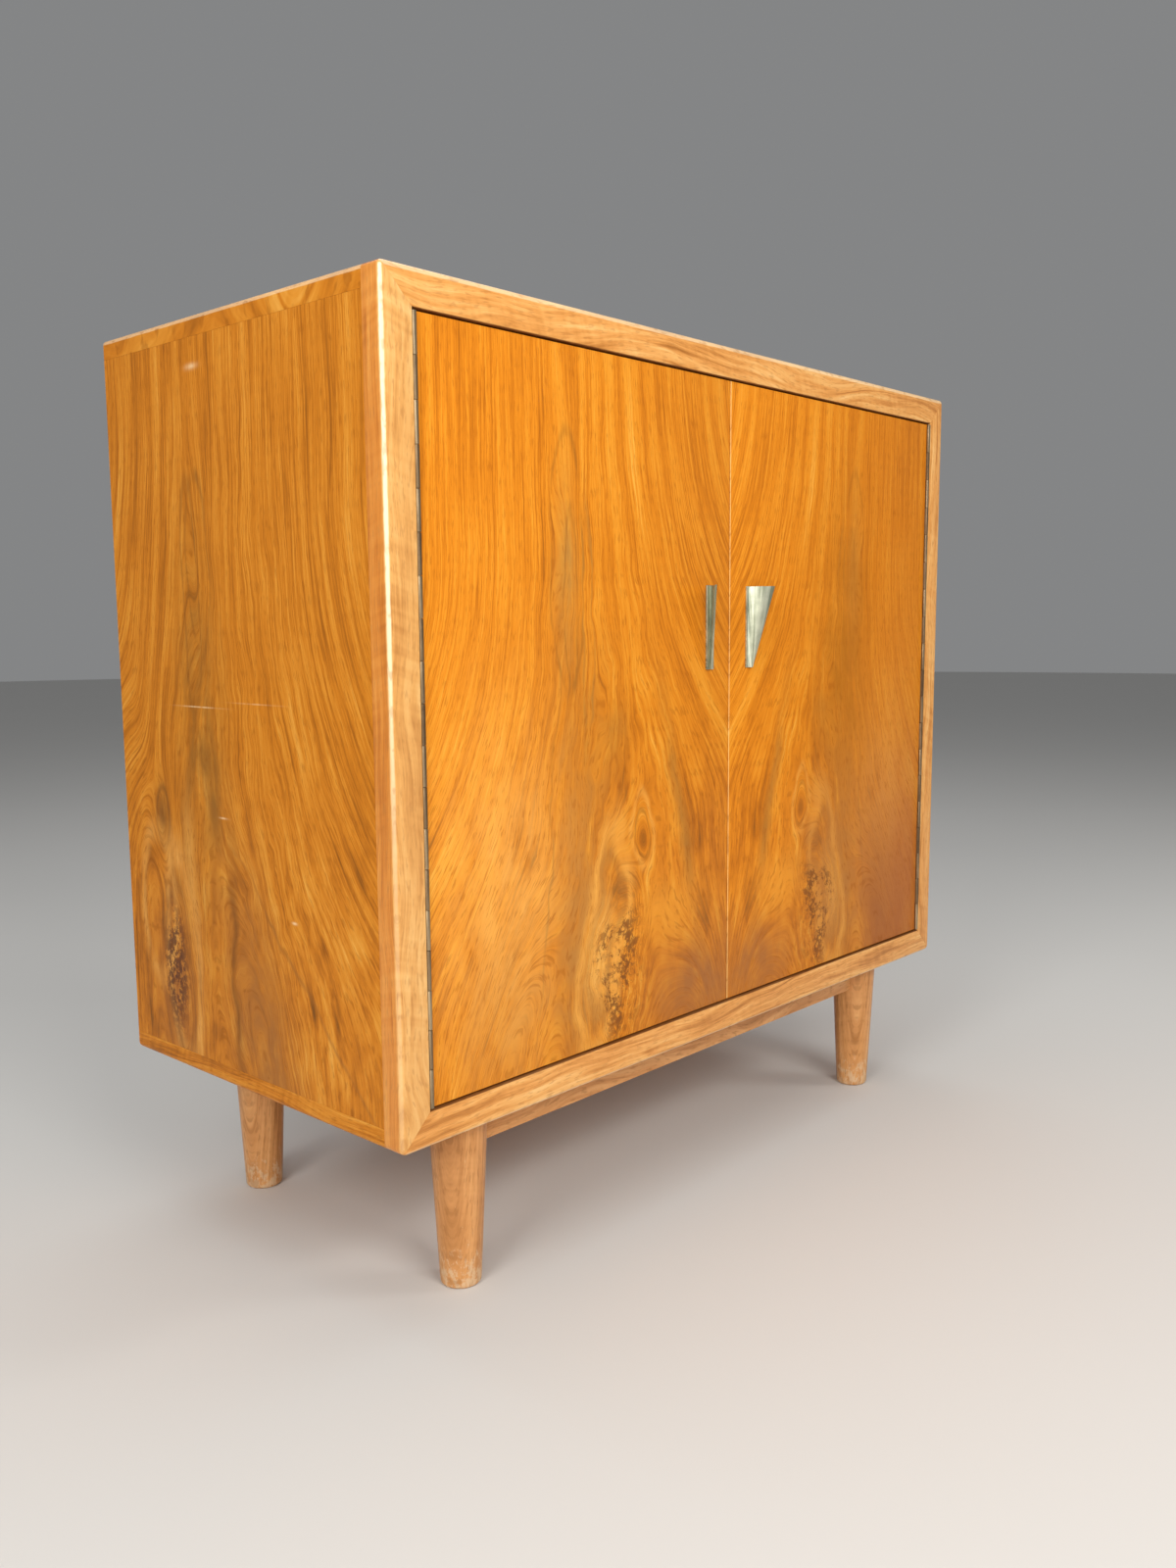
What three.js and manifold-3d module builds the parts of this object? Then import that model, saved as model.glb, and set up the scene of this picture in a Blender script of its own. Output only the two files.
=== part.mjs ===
// Console television cabinet: a mitred-front box with two inset doors on continuous hinges,
// standing on an underframe with four turned legs. Millimetres, +Z up, front towards -Y.
// The origin is on the floor, under the middle of the whole cabinet with its pulls.

import * as THREE from 'three';
import { mergeVertices } from 'three/addons/utils/BufferGeometryUtils.js';
import Module from 'manifold-3d';

// ---------------------------------------------------------------- driving dimensions

// Box
const CASE_WIDTH = 914;
const CASE_HEIGHT = 720;
const CASE_DEPTH = 430;
const BOARD = 19;
const LIPPING = 8;          // solid strip on the ends of the top and bottom panels
const TONGUE = 6;           // side panels are tongued into the top and bottom panels
const TONGUE_INSET = 3;     // from the inner face of a side to its tongue
const GLUE = 0.15;          // glue line between two fixed pieces
const ARRIS = 4.5;          // rounding of the outer edges
const ARRIS_STEPS = 4;
const LONG_EDGE_MORE = 0.5; // the long edges are rounded this much more than the front
const OVERRUN = 1;          // how far a cutter runs past a face, and a hole past its screw

// Front frame
const FRAME_FACE = 31.75;
const FRAME_DEPTH = 23;

// Doors
const DOOR_THICKNESS = 18;
const DOOR_RECESS = 2;      // door face behind the frame face
const DOOR_END_GAP = 1.6;   // above and below each door
const MEETING_GAP = 1.2;    // between the two doors

// Continuous hinges
const BARREL_RADIUS = 2.2;
const PIN_RADIUS = 1.0;
const PIN_CLEARANCE = 0.1;
const LEAF_THICKNESS = 1.0;
const LEAF_DEPTH = 16;
const HINGE_AXIS_DEPTH = 1.1; // hinge axis behind the frame face
const KNUCKLES = 19;
const KNUCKLE_GAP = 0.3;
const BARREL_SIDES = 10;

// Pulls
const PULL_HEIGHT = 86;
const PULL_CENTRE_HEIGHT = 435.5; // above the underside of the box
const PULL_OFFSET = 29;     // from the meeting line to the flange
const FLANGE_WIDTH = 12;
const FLANGE_THICKNESS = 2;
const WING_ROOT = 4.5;      // from the flange's meeting-side edge to the root of the wing
const WING_ANGLE = 47;      // degrees between the wing and the door
const WING_TOP = 26;
const WING_BOTTOM = 3;
const WING_THICKNESS = 1.8;
const BOSS_RADIUS = 4;
const BOSS_LENGTH = 6;
const BOSS_SPACING = 56;
const PULL_SCREW_TIP = 1;   // tips of the pull's screws, behind the door's face

// Underframe
const LEG_HEIGHT = 168;
const LEG_TOP_RADIUS = 27.7;
const LEG_FOOT_RADIUS = 19.3;
const FOOT_ROUNDING = 3.5;
const FOOT_STEPS = 3;
const LEG_SIDES = 32;
const LEG_FROM_SIDE = 107.5;
const LEG_FROM_FRONT = 51;
const LEG_FROM_BACK = 58;
const RAIL_THICKNESS = 20;
const RAIL_HEIGHT = 35;
const TENON_THICKNESS = 8;
const TENON_HEIGHT = 22;
const TENON_SHOULDER = 6;   // from the top of the leg down to the tenon
const TENON_TO_AXIS = 13;   // how close a tenon comes to the axis of the leg

// Inside
const LOWER_BAY_HEIGHT = 220;
const DECK_SET_BACK = 6;    // front edge of the deck, behind the frame
const DECK_CLEARANCE = 0.5; // at each end of the deck
const CLEAT = 20;
const CLEAT_END = 40;       // each cleat stops this far short of the deck's front and back

// Back
const BACK_THICKNESS = 5;
const REBATE_WIDTH = 9;
const REBATE_DEPTH = 8;
const BACK_CLEARANCE = 0.8;
const NOTCH_WIDTH = 70;
const NOTCH_HEIGHT = 38;
const SLOT_WIDTH = 8;
const SLOT_HEIGHT = 60;
const SLOT_PITCH = 26;
const SLOT_COLUMNS = 16;
const SLOT_ROWS = 3;
const SLOT_ROW_PITCH = 84;
const SLOTS_FROM_TOP = 70;  // from the top of the back to the first row of slots
const SLOT_END_STEPS = 2;

// Fasteners and catches
const SCREW_HEAD_RADIUS = 4.0;
const SCREW_HEAD_HEIGHT = 2.4;
const SCREW_SHANK_RADIUS = 1.8;
const SCREW_CLEARANCE = 0.3;
const SCREW_SLOT_DEPTH = 1.2;
const SCREW_SLOT_WIDTH = 0.8;
const SCREW_SIDES = 10;
const BACK_SCREW_GRIP = 14;
const BACK_SCREW_END = 45;  // from the end of a back panel to its screws
const RAIL_SCREW_GRIP = 12; // thread in the bottom panel
const RAIL_SCREW_SINK = 12; // head above the underside of the rail
const RAIL_SCREW_FROM_LEG = 120;
const CATCH_WIDTH = 46;
const CATCH_DEPTH = 18;
const CATCH_DROP = 28;
const CATCH_FROM_MEETING = 42;
const STRIKE_WIDTH = 38;
const STRIKE_HEIGHT = 12;
const STRIKE_THICKNESS = 2.8;
const STRIKE_BELOW_FRAME = 3;

// ---------------------------------------------------------------- derived places

const radians = THREE.MathUtils.degToRad;

const wingTilt = radians(WING_ANGLE);
const pullReach = FLANGE_THICKNESS + WING_TOP * Math.sin(wingTilt) + WING_THICKNESS * Math.cos(wingTilt);
const pullProud = pullReach - DOOR_RECESS;

const left = -CASE_WIDTH / 2;
const right = CASE_WIDTH / 2;
const front = -(CASE_DEPTH - pullProud) / 2;
const back = front + CASE_DEPTH;
const bottom = LEG_HEIGHT;
const top = LEG_HEIGHT + CASE_HEIGHT;

const frameBack = front + FRAME_DEPTH;
const boardFront = frameBack + GLUE;
const openingHalfWidth = CASE_WIDTH / 2 - FRAME_FACE;
const openingBottom = bottom + FRAME_FACE;
const openingTop = top - FRAME_FACE;
const innerHalfWidth = CASE_WIDTH / 2 - BOARD;
const innerBottom = bottom + BOARD;
const innerTop = top - BOARD;

const doorFront = front + DOOR_RECESS;
const doorBack = doorFront + DOOR_THICKNESS;
const doorBottom = openingBottom + DOOR_END_GAP;
const doorTop = openingTop - DOOR_END_GAP;
const hingeHalfGap = BARREL_RADIUS + GLUE;
const hingeX = openingHalfWidth - hingeHalfGap;
const hingeY = front + HINGE_AXIS_DEPTH;
const doorHingeEdge = hingeX - hingeHalfGap;
const doorMeetingEdge = MEETING_GAP / 2;

const deckBottom = innerBottom + LOWER_BAY_HEIGHT;
const deckTop = deckBottom + BOARD;
const deckFront = frameBack + DECK_SET_BACK;
const backInner = back - REBATE_DEPTH;
const backOuter = backInner + BACK_THICKNESS;
const deckMiddle = (deckBottom + deckTop) / 2;

const shankHole = SCREW_SHANK_RADIUS + SCREW_CLEARANCE;
const headHole = SCREW_HEAD_RADIUS + SCREW_CLEARANCE;
const threadHole = SCREW_SHANK_RADIUS + SCREW_CLEARANCE / 2;

const legX = CASE_WIDTH / 2 - LEG_FROM_SIDE;
const legFrontY = front + LEG_FROM_FRONT;
const legBackY = back - LEG_FROM_BACK;
const railTop = LEG_HEIGHT - GLUE;

// ---------------------------------------------------------------- solid helpers

const wasm = await Module();
wasm.setup();

// Turns a closed geometry into a manifold solid.
function solid(geometry) {
  const bare = geometry.clone();
  bare.deleteAttribute('normal');
  bare.deleteAttribute('uv');
  const merged = mergeVertices(bare, 1e-4);
  return new wasm.Manifold(new wasm.Mesh({
    numProp: 3,
    vertProperties: new Float32Array(merged.attributes.position.array),
    triVerts: new Uint32Array(merged.index.array),
  }));
}

// Turns a manifold solid back into a geometry.
function geometryOf(manifold) {
  const mesh = manifold.getMesh();
  const geometry = new THREE.BufferGeometry();
  geometry.setAttribute('position', new THREE.BufferAttribute(mesh.vertProperties, 3));
  geometry.setIndex(new THREE.BufferAttribute(mesh.triVerts, 1));
  geometry.computeVertexNormals();
  return geometry;
}

// A box between two values on each axis, whichever order they come in.
function block([x0, x1], [y0, y1], [z0, z1]) {
  const box = new THREE.BoxGeometry(Math.abs(x1 - x0), Math.abs(y1 - y0), Math.abs(z1 - z0));
  return solid(box.translate((x0 + x1) / 2, (y0 + y1) / 2, (z0 + z1) / 2));
}

// A shape drawn in X and Z, extruded along Y between two values.
function alongY(shape, y0, y1, options = {}) {
  const geometry = new THREE.ExtrudeGeometry(shape, { depth: y1 - y0, bevelEnabled: false, ...options });
  return geometry.rotateX(Math.PI / 2).translate(0, y1, 0);
}

// A cylinder along Y between two values, at a place in X and Z.
function rodAlongY(radius, sides, x, z, y0, y1) {
  const rod = new THREE.CylinderGeometry(radius, radius, y1 - y0, sides);
  return solid(rod.translate(x, (y0 + y1) / 2, z));
}

// A cylinder along Z between two values, at a place in X and Y.
function rodAlongZ(radius, sides, x, y, z0, z1) {
  const rod = new THREE.CylinderGeometry(radius, radius, z1 - z0, sides).rotateX(Math.PI / 2);
  return solid(rod.translate(x, y, (z0 + z1) / 2));
}

function polygon(points) {
  return new THREE.Shape(points.map(([x, z]) => new THREE.Vector2(x, z)));
}

// ---------------------------------------------------------------- finishes

const finishes = {
  doorVeneer: { color: 0xb8702c, roughness: 0.3, metalness: 0 },
  sideVeneer: { color: 0xb06a28, roughness: 0.32, metalness: 0 },
  panelVeneer: { color: 0xa9682d, roughness: 0.35, metalness: 0 },
  frameWalnut: { color: 0xc98d55, roughness: 0.38, metalness: 0 },
  legWalnut: { color: 0xa9693a, roughness: 0.42, metalness: 0 },
  insideWood: { color: 0x9a683c, roughness: 0.55, metalness: 0 },
  backBoard: { color: 0x6f4a2c, roughness: 0.8, metalness: 0 },
  hingeMetal: { color: 0x9c927c, roughness: 0.35, metalness: 1 },
  pullMetal: { color: 0xa8a890, roughness: 0.35, metalness: 1 },
  screwMetal: { color: 0x8f8a80, roughness: 0.4, metalness: 1 },
  catchPlastic: { color: 0x4a3a2c, roughness: 0.6, metalness: 0 },
};

const cabinet = new THREE.Group();

function add(name, manifold, finish) {
  const mesh = new THREE.Mesh(geometryOf(manifold), new THREE.MeshStandardMaterial(finishes[finish]));
  mesh.name = name;
  cabinet.add(mesh);
}

// The two hands of a mirrored pair: -1 is left, +1 is right.
const hands = [['left', -1], ['right', 1]];

// ---------------------------------------------------------------- box

// A rectangle with rounded corners, in X and Z.
function roundedOutline(x0, x1, z0, z1, radius) {
  const outline = new THREE.Shape();
  outline.absarc(x1 - radius, z0 + radius, radius, -Math.PI / 2, 0);
  outline.absarc(x1 - radius, z1 - radius, radius, 0, Math.PI / 2);
  outline.absarc(x0 + radius, z1 - radius, radius, Math.PI / 2, Math.PI);
  outline.absarc(x0 + radius, z0 + radius, radius, Math.PI, 1.5 * Math.PI);
  return outline;
}

// The finished outside of the whole box: rounded along its four long edges and round its front.
function finishedOutside() {
  const outline = roundedOutline(left, right, bottom, top, ARRIS + LONG_EDGE_MORE);
  const form = alongY(outline, front + ARRIS, back + OVERRUN, {
    bevelEnabled: true,
    bevelThickness: ARRIS,
    bevelSize: ARRIS,
    bevelOffset: -ARRIS,
    bevelSegments: ARRIS_STEPS,
    curveSegments: ARRIS_STEPS,
  });
  return solid(form);
}

const outside = finishedOutside();

// What is cut from the box's back edges to take the back panels.
function backRebate() {
  const half = innerHalfWidth + REBATE_WIDTH;
  const z = [innerBottom - REBATE_WIDTH, innerTop + REBATE_WIDTH];
  return block([-half, half], [backInner, back + OVERRUN], z);
}

// Where the screws come up through the front and rear rails.
function railScrewPlaces() {
  const x = legX - RAIL_SCREW_FROM_LEG;
  return [['front', legFrontY], ['rear', legBackY]].flatMap(([place, y]) => (
    hands.map(([hand, sign]) => ({ name: `underframe_screw_${place}_${hand}`, x: sign * x, y }))
  ));
}

function backScrewPlaces() {
  const x = innerHalfWidth + REBATE_WIDTH / 2;
  const heights = [
    ['lower_back_screw_low', innerBottom + BACK_SCREW_END],
    ['lower_back_screw_high', deckMiddle - BACK_SCREW_END],
    ['upper_back_screw_low', deckMiddle + BACK_SCREW_END],
    ['upper_back_screw_high', innerTop - BACK_SCREW_END],
  ];
  return heights.flatMap(([place, z]) => (
    hands.map(([hand, sign]) => ({ name: `${place}_${hand}`, x: sign * x, z }))
  ));
}

function buildBox() {
  const rebate = backRebate();
  const tongueY = [boardFront + BOARD, backInner - BOARD];
  const tongueMiddle = innerHalfWidth + TONGUE_INSET + TONGUE / 2;
  const panelHalf = CASE_WIDTH / 2 - LIPPING;
  const levels = [['top', innerTop, top, 1], ['bottom', bottom, innerBottom, -1]];

  for (const [level, z0, z1, up] of levels) {
    let panel = block([-panelHalf, panelHalf], [boardFront, back], [z0, z1]).subtract(rebate);
    const inside = up > 0 ? z0 : z1;
    for (const [, sign] of hands) {
      const middle = sign * tongueMiddle;
      const half = TONGUE / 2 + GLUE;
      panel = panel.subtract(block(
        [middle - half, middle + half],
        [tongueY[0] - GLUE, tongueY[1] + GLUE],
        [inside - up * OVERRUN, inside + up * (TONGUE + 2 * GLUE)],
      ));
    }
    if (level === 'bottom') {
      for (const { x, y } of railScrewPlaces()) {
        const end = z0 + RAIL_SCREW_GRIP + OVERRUN;
        panel = panel.subtract(rodAlongZ(shankHole, SCREW_SIDES, x, y, z0 - OVERRUN, end));
      }
    }
    add(`${level}_panel`, panel, 'panelVeneer');
    for (const [hand, sign] of hands) {
      const strip = block([sign * (panelHalf + GLUE), sign * (CASE_WIDTH / 2)], [boardFront, back], [z0, z1]);
      add(`${level}_${hand}_lipping`, strip.intersect(outside), 'frameWalnut');
    }
  }

  for (const [hand, sign] of hands) {
    let side = block(
      [sign * innerHalfWidth, sign * (CASE_WIDTH / 2)],
      [boardFront, back],
      [innerBottom + GLUE, innerTop - GLUE],
    );
    const tongueX = [sign * tongueMiddle - TONGUE / 2, sign * tongueMiddle + TONGUE / 2];
    side = side.add(block(tongueX, tongueY, [innerBottom - TONGUE, innerTop + TONGUE]));
    side = side.subtract(rebate);
    for (const { x, z } of backScrewPlaces()) {
      const tip = backInner - BACK_SCREW_GRIP;
      side = side.subtract(rodAlongY(shankHole, SCREW_SIDES, x, z, tip, backInner + OVERRUN));
    }
    add(`${hand}_side_panel`, side, 'sideVeneer');
  }
}

// Four mitred members; each mitre runs from the outer corner to the inner corner.
function buildFrame() {
  const outer = [[left, bottom], [right, bottom], [right, top], [left, top]];
  const inner = [
    [-openingHalfWidth, openingBottom], [openingHalfWidth, openingBottom],
    [openingHalfWidth, openingTop], [-openingHalfWidth, openingTop],
  ];
  const names = ['frame_bottom_rail', 'frame_right_stile', 'frame_top_rail', 'frame_left_stile'];
  names.forEach((name, i) => {
    const next = (i + 1) % names.length;
    const along = new THREE.Vector2(outer[next][0] - outer[i][0], outer[next][1] - outer[i][1]).normalize();
    const slide = ([x, z], amount) => [x + along.x * amount, z + along.y * amount];
    const shape = polygon([
      slide(outer[i], GLUE), slide(outer[next], -GLUE), slide(inner[next], -GLUE), slide(inner[i], GLUE),
    ]);
    add(name, solid(alongY(shape, front, frameBack)).intersect(outside), 'frameWalnut');
  });
}

// ---------------------------------------------------------------- back

function obround(x, z, width, height) {
  const slot = new THREE.Path();
  const radius = width / 2;
  const reach = height / 2 - radius;
  slot.absarc(x, z + reach, radius, 0, Math.PI);
  slot.absarc(x, z - reach, radius, Math.PI, 2 * Math.PI);
  slot.closePath();
  return slot;
}

function buildBack() {
  const half = innerHalfWidth + REBATE_WIDTH - BACK_CLEARANCE;
  const low = innerBottom - REBATE_WIDTH + BACK_CLEARANCE;
  const high = innerTop + REBATE_WIDTH - BACK_CLEARANCE;
  const upperLow = deckMiddle + BACK_CLEARANCE / 2;
  const lowerHigh = deckMiddle - BACK_CLEARANCE / 2;
  const notch = NOTCH_WIDTH / 2;
  const notchTop = deckTop + NOTCH_HEIGHT;

  const upper = polygon([
    [-half, upperLow], [-notch, upperLow], [-notch, notchTop], [notch, notchTop],
    [notch, upperLow], [half, upperLow], [half, high], [-half, high],
  ]);
  for (let row = 0; row < SLOT_ROWS; row++) {
    for (let column = 0; column < SLOT_COLUMNS; column++) {
      const x = (column - (SLOT_COLUMNS - 1) / 2) * SLOT_PITCH;
      const z = high - SLOTS_FROM_TOP - row * SLOT_ROW_PITCH;
      upper.holes.push(obround(x, z, SLOT_WIDTH, SLOT_HEIGHT));
    }
  }
  const lower = polygon([[-half, low], [half, low], [half, lowerHigh], [-half, lowerHigh]]);
  const inner = backInner + GLUE;
  const boards = [['upper_back_panel', upper], ['lower_back_panel', lower]];
  for (const [name, shape] of boards) {
    let board = solid(alongY(shape, inner, inner + BACK_THICKNESS - GLUE, { curveSegments: SLOT_END_STEPS }));
    for (const { x, z } of backScrewPlaces()) {
      board = board.subtract(rodAlongY(shankHole, SCREW_SIDES, x, z, inner - OVERRUN, backOuter + OVERRUN));
    }
    add(name, board, 'backBoard');
  }
}

// ---------------------------------------------------------------- inside

function buildInside() {
  const deckHalf = innerHalfWidth - DECK_CLEARANCE;
  const deckBack = backInner - GLUE;
  const lippedFront = deckFront + LIPPING;
  const widths = [-deckHalf, deckHalf];
  const deckZ = [deckBottom, deckTop];
  add('set_deck', block(widths, [lippedFront + GLUE, deckBack], deckZ), 'insideWood');
  add('set_deck_lipping', block(widths, [deckFront, lippedFront], deckZ), 'frameWalnut');

  const halfBoard = BOARD / 2;
  const thickness = [-halfBoard, halfBoard];
  const bayZ = [innerBottom + GLUE, deckBottom - GLUE];
  add('bay_divider', block(thickness, [lippedFront + GLUE, deckBack], bayZ), 'insideWood');
  add('bay_divider_lipping', block(thickness, [deckFront, lippedFront], bayZ), 'frameWalnut');

  for (const [hand, sign] of hands) {
    const wall = sign * (innerHalfWidth - GLUE);
    const cleat = block(
      [wall, wall - sign * CLEAT],
      [deckFront + CLEAT_END, deckBack - CLEAT_END],
      [deckBottom - GLUE - CLEAT, deckBottom - GLUE],
    );
    add(`${hand}_deck_cleat`, cleat, 'insideWood');
  }
}

// ---------------------------------------------------------------- underframe

// Half the outline of a leg from its axis, fatter all round by grow.
function legProfile(grow = 0) {
  const rounding = FOOT_ROUNDING;
  const points = [new THREE.Vector2(0, -grow), new THREE.Vector2(LEG_FOOT_RADIUS - rounding + grow, -grow)];
  for (let i = 1; i <= FOOT_STEPS; i++) {
    const angle = (i / FOOT_STEPS) * (Math.PI / 2);
    points.push(new THREE.Vector2(
      LEG_FOOT_RADIUS + grow - rounding * (1 - Math.sin(angle)),
      rounding * (1 - Math.cos(angle)),
    ));
  }
  points.push(new THREE.Vector2(LEG_TOP_RADIUS + grow, railTop + grow), new THREE.Vector2(0, railTop + grow));
  return points;
}

function legForm(x, y, grow = 0) {
  return solid(new THREE.LatheGeometry(legProfile(grow), LEG_SIDES).rotateX(Math.PI / 2).translate(x, y, 0));
}

// A tenon from beside the axis of one leg to beside the axis of the next, slimmer or fatter by grow.
function tenonBar(from, to, grow) {
  const along = from.x === to.x ? 'y' : 'x';
  const reach = TENON_TO_AXIS - grow;
  const half = TENON_THICKNESS / 2 + grow;
  const span = [from[along] + reach, to[along] - reach];
  const zHigh = railTop - TENON_SHOULDER + grow;
  const zLow = railTop - TENON_SHOULDER - TENON_HEIGHT - grow;
  return along === 'x'
    ? block(span, [from.y - half, from.y + half], [zLow, zHigh])
    : block([from.x - half, from.x + half], span, [zLow, zHigh]);
}

// A slotted screw along Z with its head down: the head's upper side bears at seat.
function screwUp(x, y, seat, tip) {
  const face = seat - SCREW_HEAD_HEIGHT;
  return rodAlongZ(SCREW_SHANK_RADIUS, SCREW_SIDES, x, y, seat - SCREW_HEAD_HEIGHT / 2, tip)
    .add(rodAlongZ(SCREW_HEAD_RADIUS, SCREW_SIDES, x, y, face, seat))
    .subtract(block(
      [x - SCREW_HEAD_RADIUS, x + SCREW_HEAD_RADIUS],
      [y - SCREW_SLOT_WIDTH / 2, y + SCREW_SLOT_WIDTH / 2],
      [face - OVERRUN, face + SCREW_SLOT_DEPTH],
    ));
}

// The same screw along Y with its head to the back: the head's front side bears at seat.
function screwForward(x, z, seat, tip) {
  const face = seat + SCREW_HEAD_HEIGHT;
  return rodAlongY(SCREW_SHANK_RADIUS, SCREW_SIDES, x, z, tip, seat + SCREW_HEAD_HEIGHT / 2)
    .add(rodAlongY(SCREW_HEAD_RADIUS, SCREW_SIDES, x, z, seat, face))
    .subtract(block(
      [x - SCREW_HEAD_RADIUS, x + SCREW_HEAD_RADIUS],
      [face - SCREW_SLOT_DEPTH, face + OVERRUN],
      [z - SCREW_SLOT_WIDTH / 2, z + SCREW_SLOT_WIDTH / 2],
    ));
}

function buildUnderframe() {
  const corner = {
    frontLeft: { x: -legX, y: legFrontY },
    frontRight: { x: legX, y: legFrontY },
    rearLeft: { x: -legX, y: legBackY },
    rearRight: { x: legX, y: legBackY },
  };
  const runs = [
    ['front_under_rail', corner.frontLeft, corner.frontRight],
    ['rear_under_rail', corner.rearLeft, corner.rearRight],
    ['left_under_rail', corner.frontLeft, corner.rearLeft],
    ['right_under_rail', corner.frontRight, corner.rearRight],
  ];
  const half = RAIL_THICKNESS / 2;
  const railZ = [railTop - RAIL_HEIGHT, railTop];
  const screws = railScrewPlaces();
  const seat = railZ[0] + RAIL_SCREW_SINK;

  for (const [name, from, to] of runs) {
    const bar = from.x === to.x
      ? block([from.x - half, from.x + half], [from.y, to.y], railZ)
      : block([from.x, to.x], [from.y - half, from.y + half], railZ);
    let rail = bar.subtract(legForm(from.x, from.y, GLUE)).subtract(legForm(to.x, to.y, GLUE));
    rail = rail.add(tenonBar(from, to, 0));
    for (const { x, y } of screws) {
      rail = rail
        .subtract(rodAlongZ(shankHole, SCREW_SIDES, x, y, railZ[0] - OVERRUN, railTop + OVERRUN))
        .subtract(rodAlongZ(headHole, SCREW_SIDES, x, y, railZ[0] - OVERRUN, seat + GLUE));
    }
    add(name, rail, 'legWalnut');
  }

  const legs = [
    ['front_left_leg', corner.frontLeft], ['front_right_leg', corner.frontRight],
    ['rear_left_leg', corner.rearLeft], ['rear_right_leg', corner.rearRight],
  ];
  for (const [name, place] of legs) {
    let leg = legForm(place.x, place.y);
    for (const [, from, to] of runs) {
      leg = leg.subtract(tenonBar(from, to, GLUE));
    }
    add(name, leg, 'legWalnut');
  }

  for (const { name, x, y } of screws) {
    add(name, screwUp(x, y, seat, bottom + RAIL_SCREW_GRIP), 'screwMetal');
  }
}

// ---------------------------------------------------------------- doors

function pullBossPlaces(sign) {
  const x = sign * (PULL_OFFSET + FLANGE_WIDTH / 2);
  const middle = bottom + PULL_CENTRE_HEIGHT;
  const places = [['lower', -1], ['upper', 1]];
  return places.map(([place, side]) => ({ place, x, z: middle + side * BOSS_SPACING / 2 }));
}

function buildDoor(hand, sign) {
  let door = block(
    [sign * doorMeetingEdge, sign * doorHingeEdge], [doorFront, doorBack], [doorBottom, doorTop],
  );
  const bossEnd = doorFront + BOSS_LENGTH;
  for (const { x, z } of pullBossPlaces(sign)) {
    door = door
      .subtract(rodAlongY(BOSS_RADIUS + GLUE, SCREW_SIDES, x, z, doorFront - OVERRUN, bossEnd + GLUE))
      .subtract(rodAlongY(shankHole, SCREW_SIDES, x, z, doorFront, doorBack + OVERRUN));
  }
  add(`${hand}_door`, door, 'doorVeneer');
}

// Knuckles are numbered from the bottom; even ones belong to the frame leaf, odd ones to the door leaf.
function buildHinge(hand, sign) {
  const x = sign * hingeX;
  const pitch = (doorTop - doorBottom) / KNUCKLES;
  const plateStart = hingeY + BARREL_RADIUS + 2 * KNUCKLE_GAP;
  const plateEnd = hingeY + LEAF_DEPTH;
  const leaves = [['frame_leaf', 0, 1], ['door_leaf', 1, -1]];

  for (const [leaf, parity, outward] of leaves) {
    const outer = x + sign * outward * BARREL_RADIUS;
    const inner = outer - sign * outward * LEAF_THICKNESS;
    let body = block([outer, inner], [plateStart, plateEnd], [doorBottom, doorTop]);
    for (let i = parity; i < KNUCKLES; i += 2) {
      const low = doorBottom + i * pitch + KNUCKLE_GAP / 2;
      const high = doorBottom + (i + 1) * pitch - KNUCKLE_GAP / 2;
      body = body
        .add(rodAlongZ(BARREL_RADIUS, BARREL_SIDES, x, hingeY, low, high))
        .add(block([outer, inner], [hingeY, plateStart + KNUCKLE_GAP], [low, high]));
    }
    body = body.subtract(
      rodAlongZ(PIN_RADIUS + PIN_CLEARANCE, BARREL_SIDES, x, hingeY, doorBottom - OVERRUN, doorTop + OVERRUN),
    );
    add(`${hand}_hinge_${leaf}`, body, 'hingeMetal');
  }
  add(`${hand}_hinge_pin`, rodAlongZ(PIN_RADIUS, BARREL_SIDES, x, hingeY, doorBottom, doorTop), 'hingeMetal');
}

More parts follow.
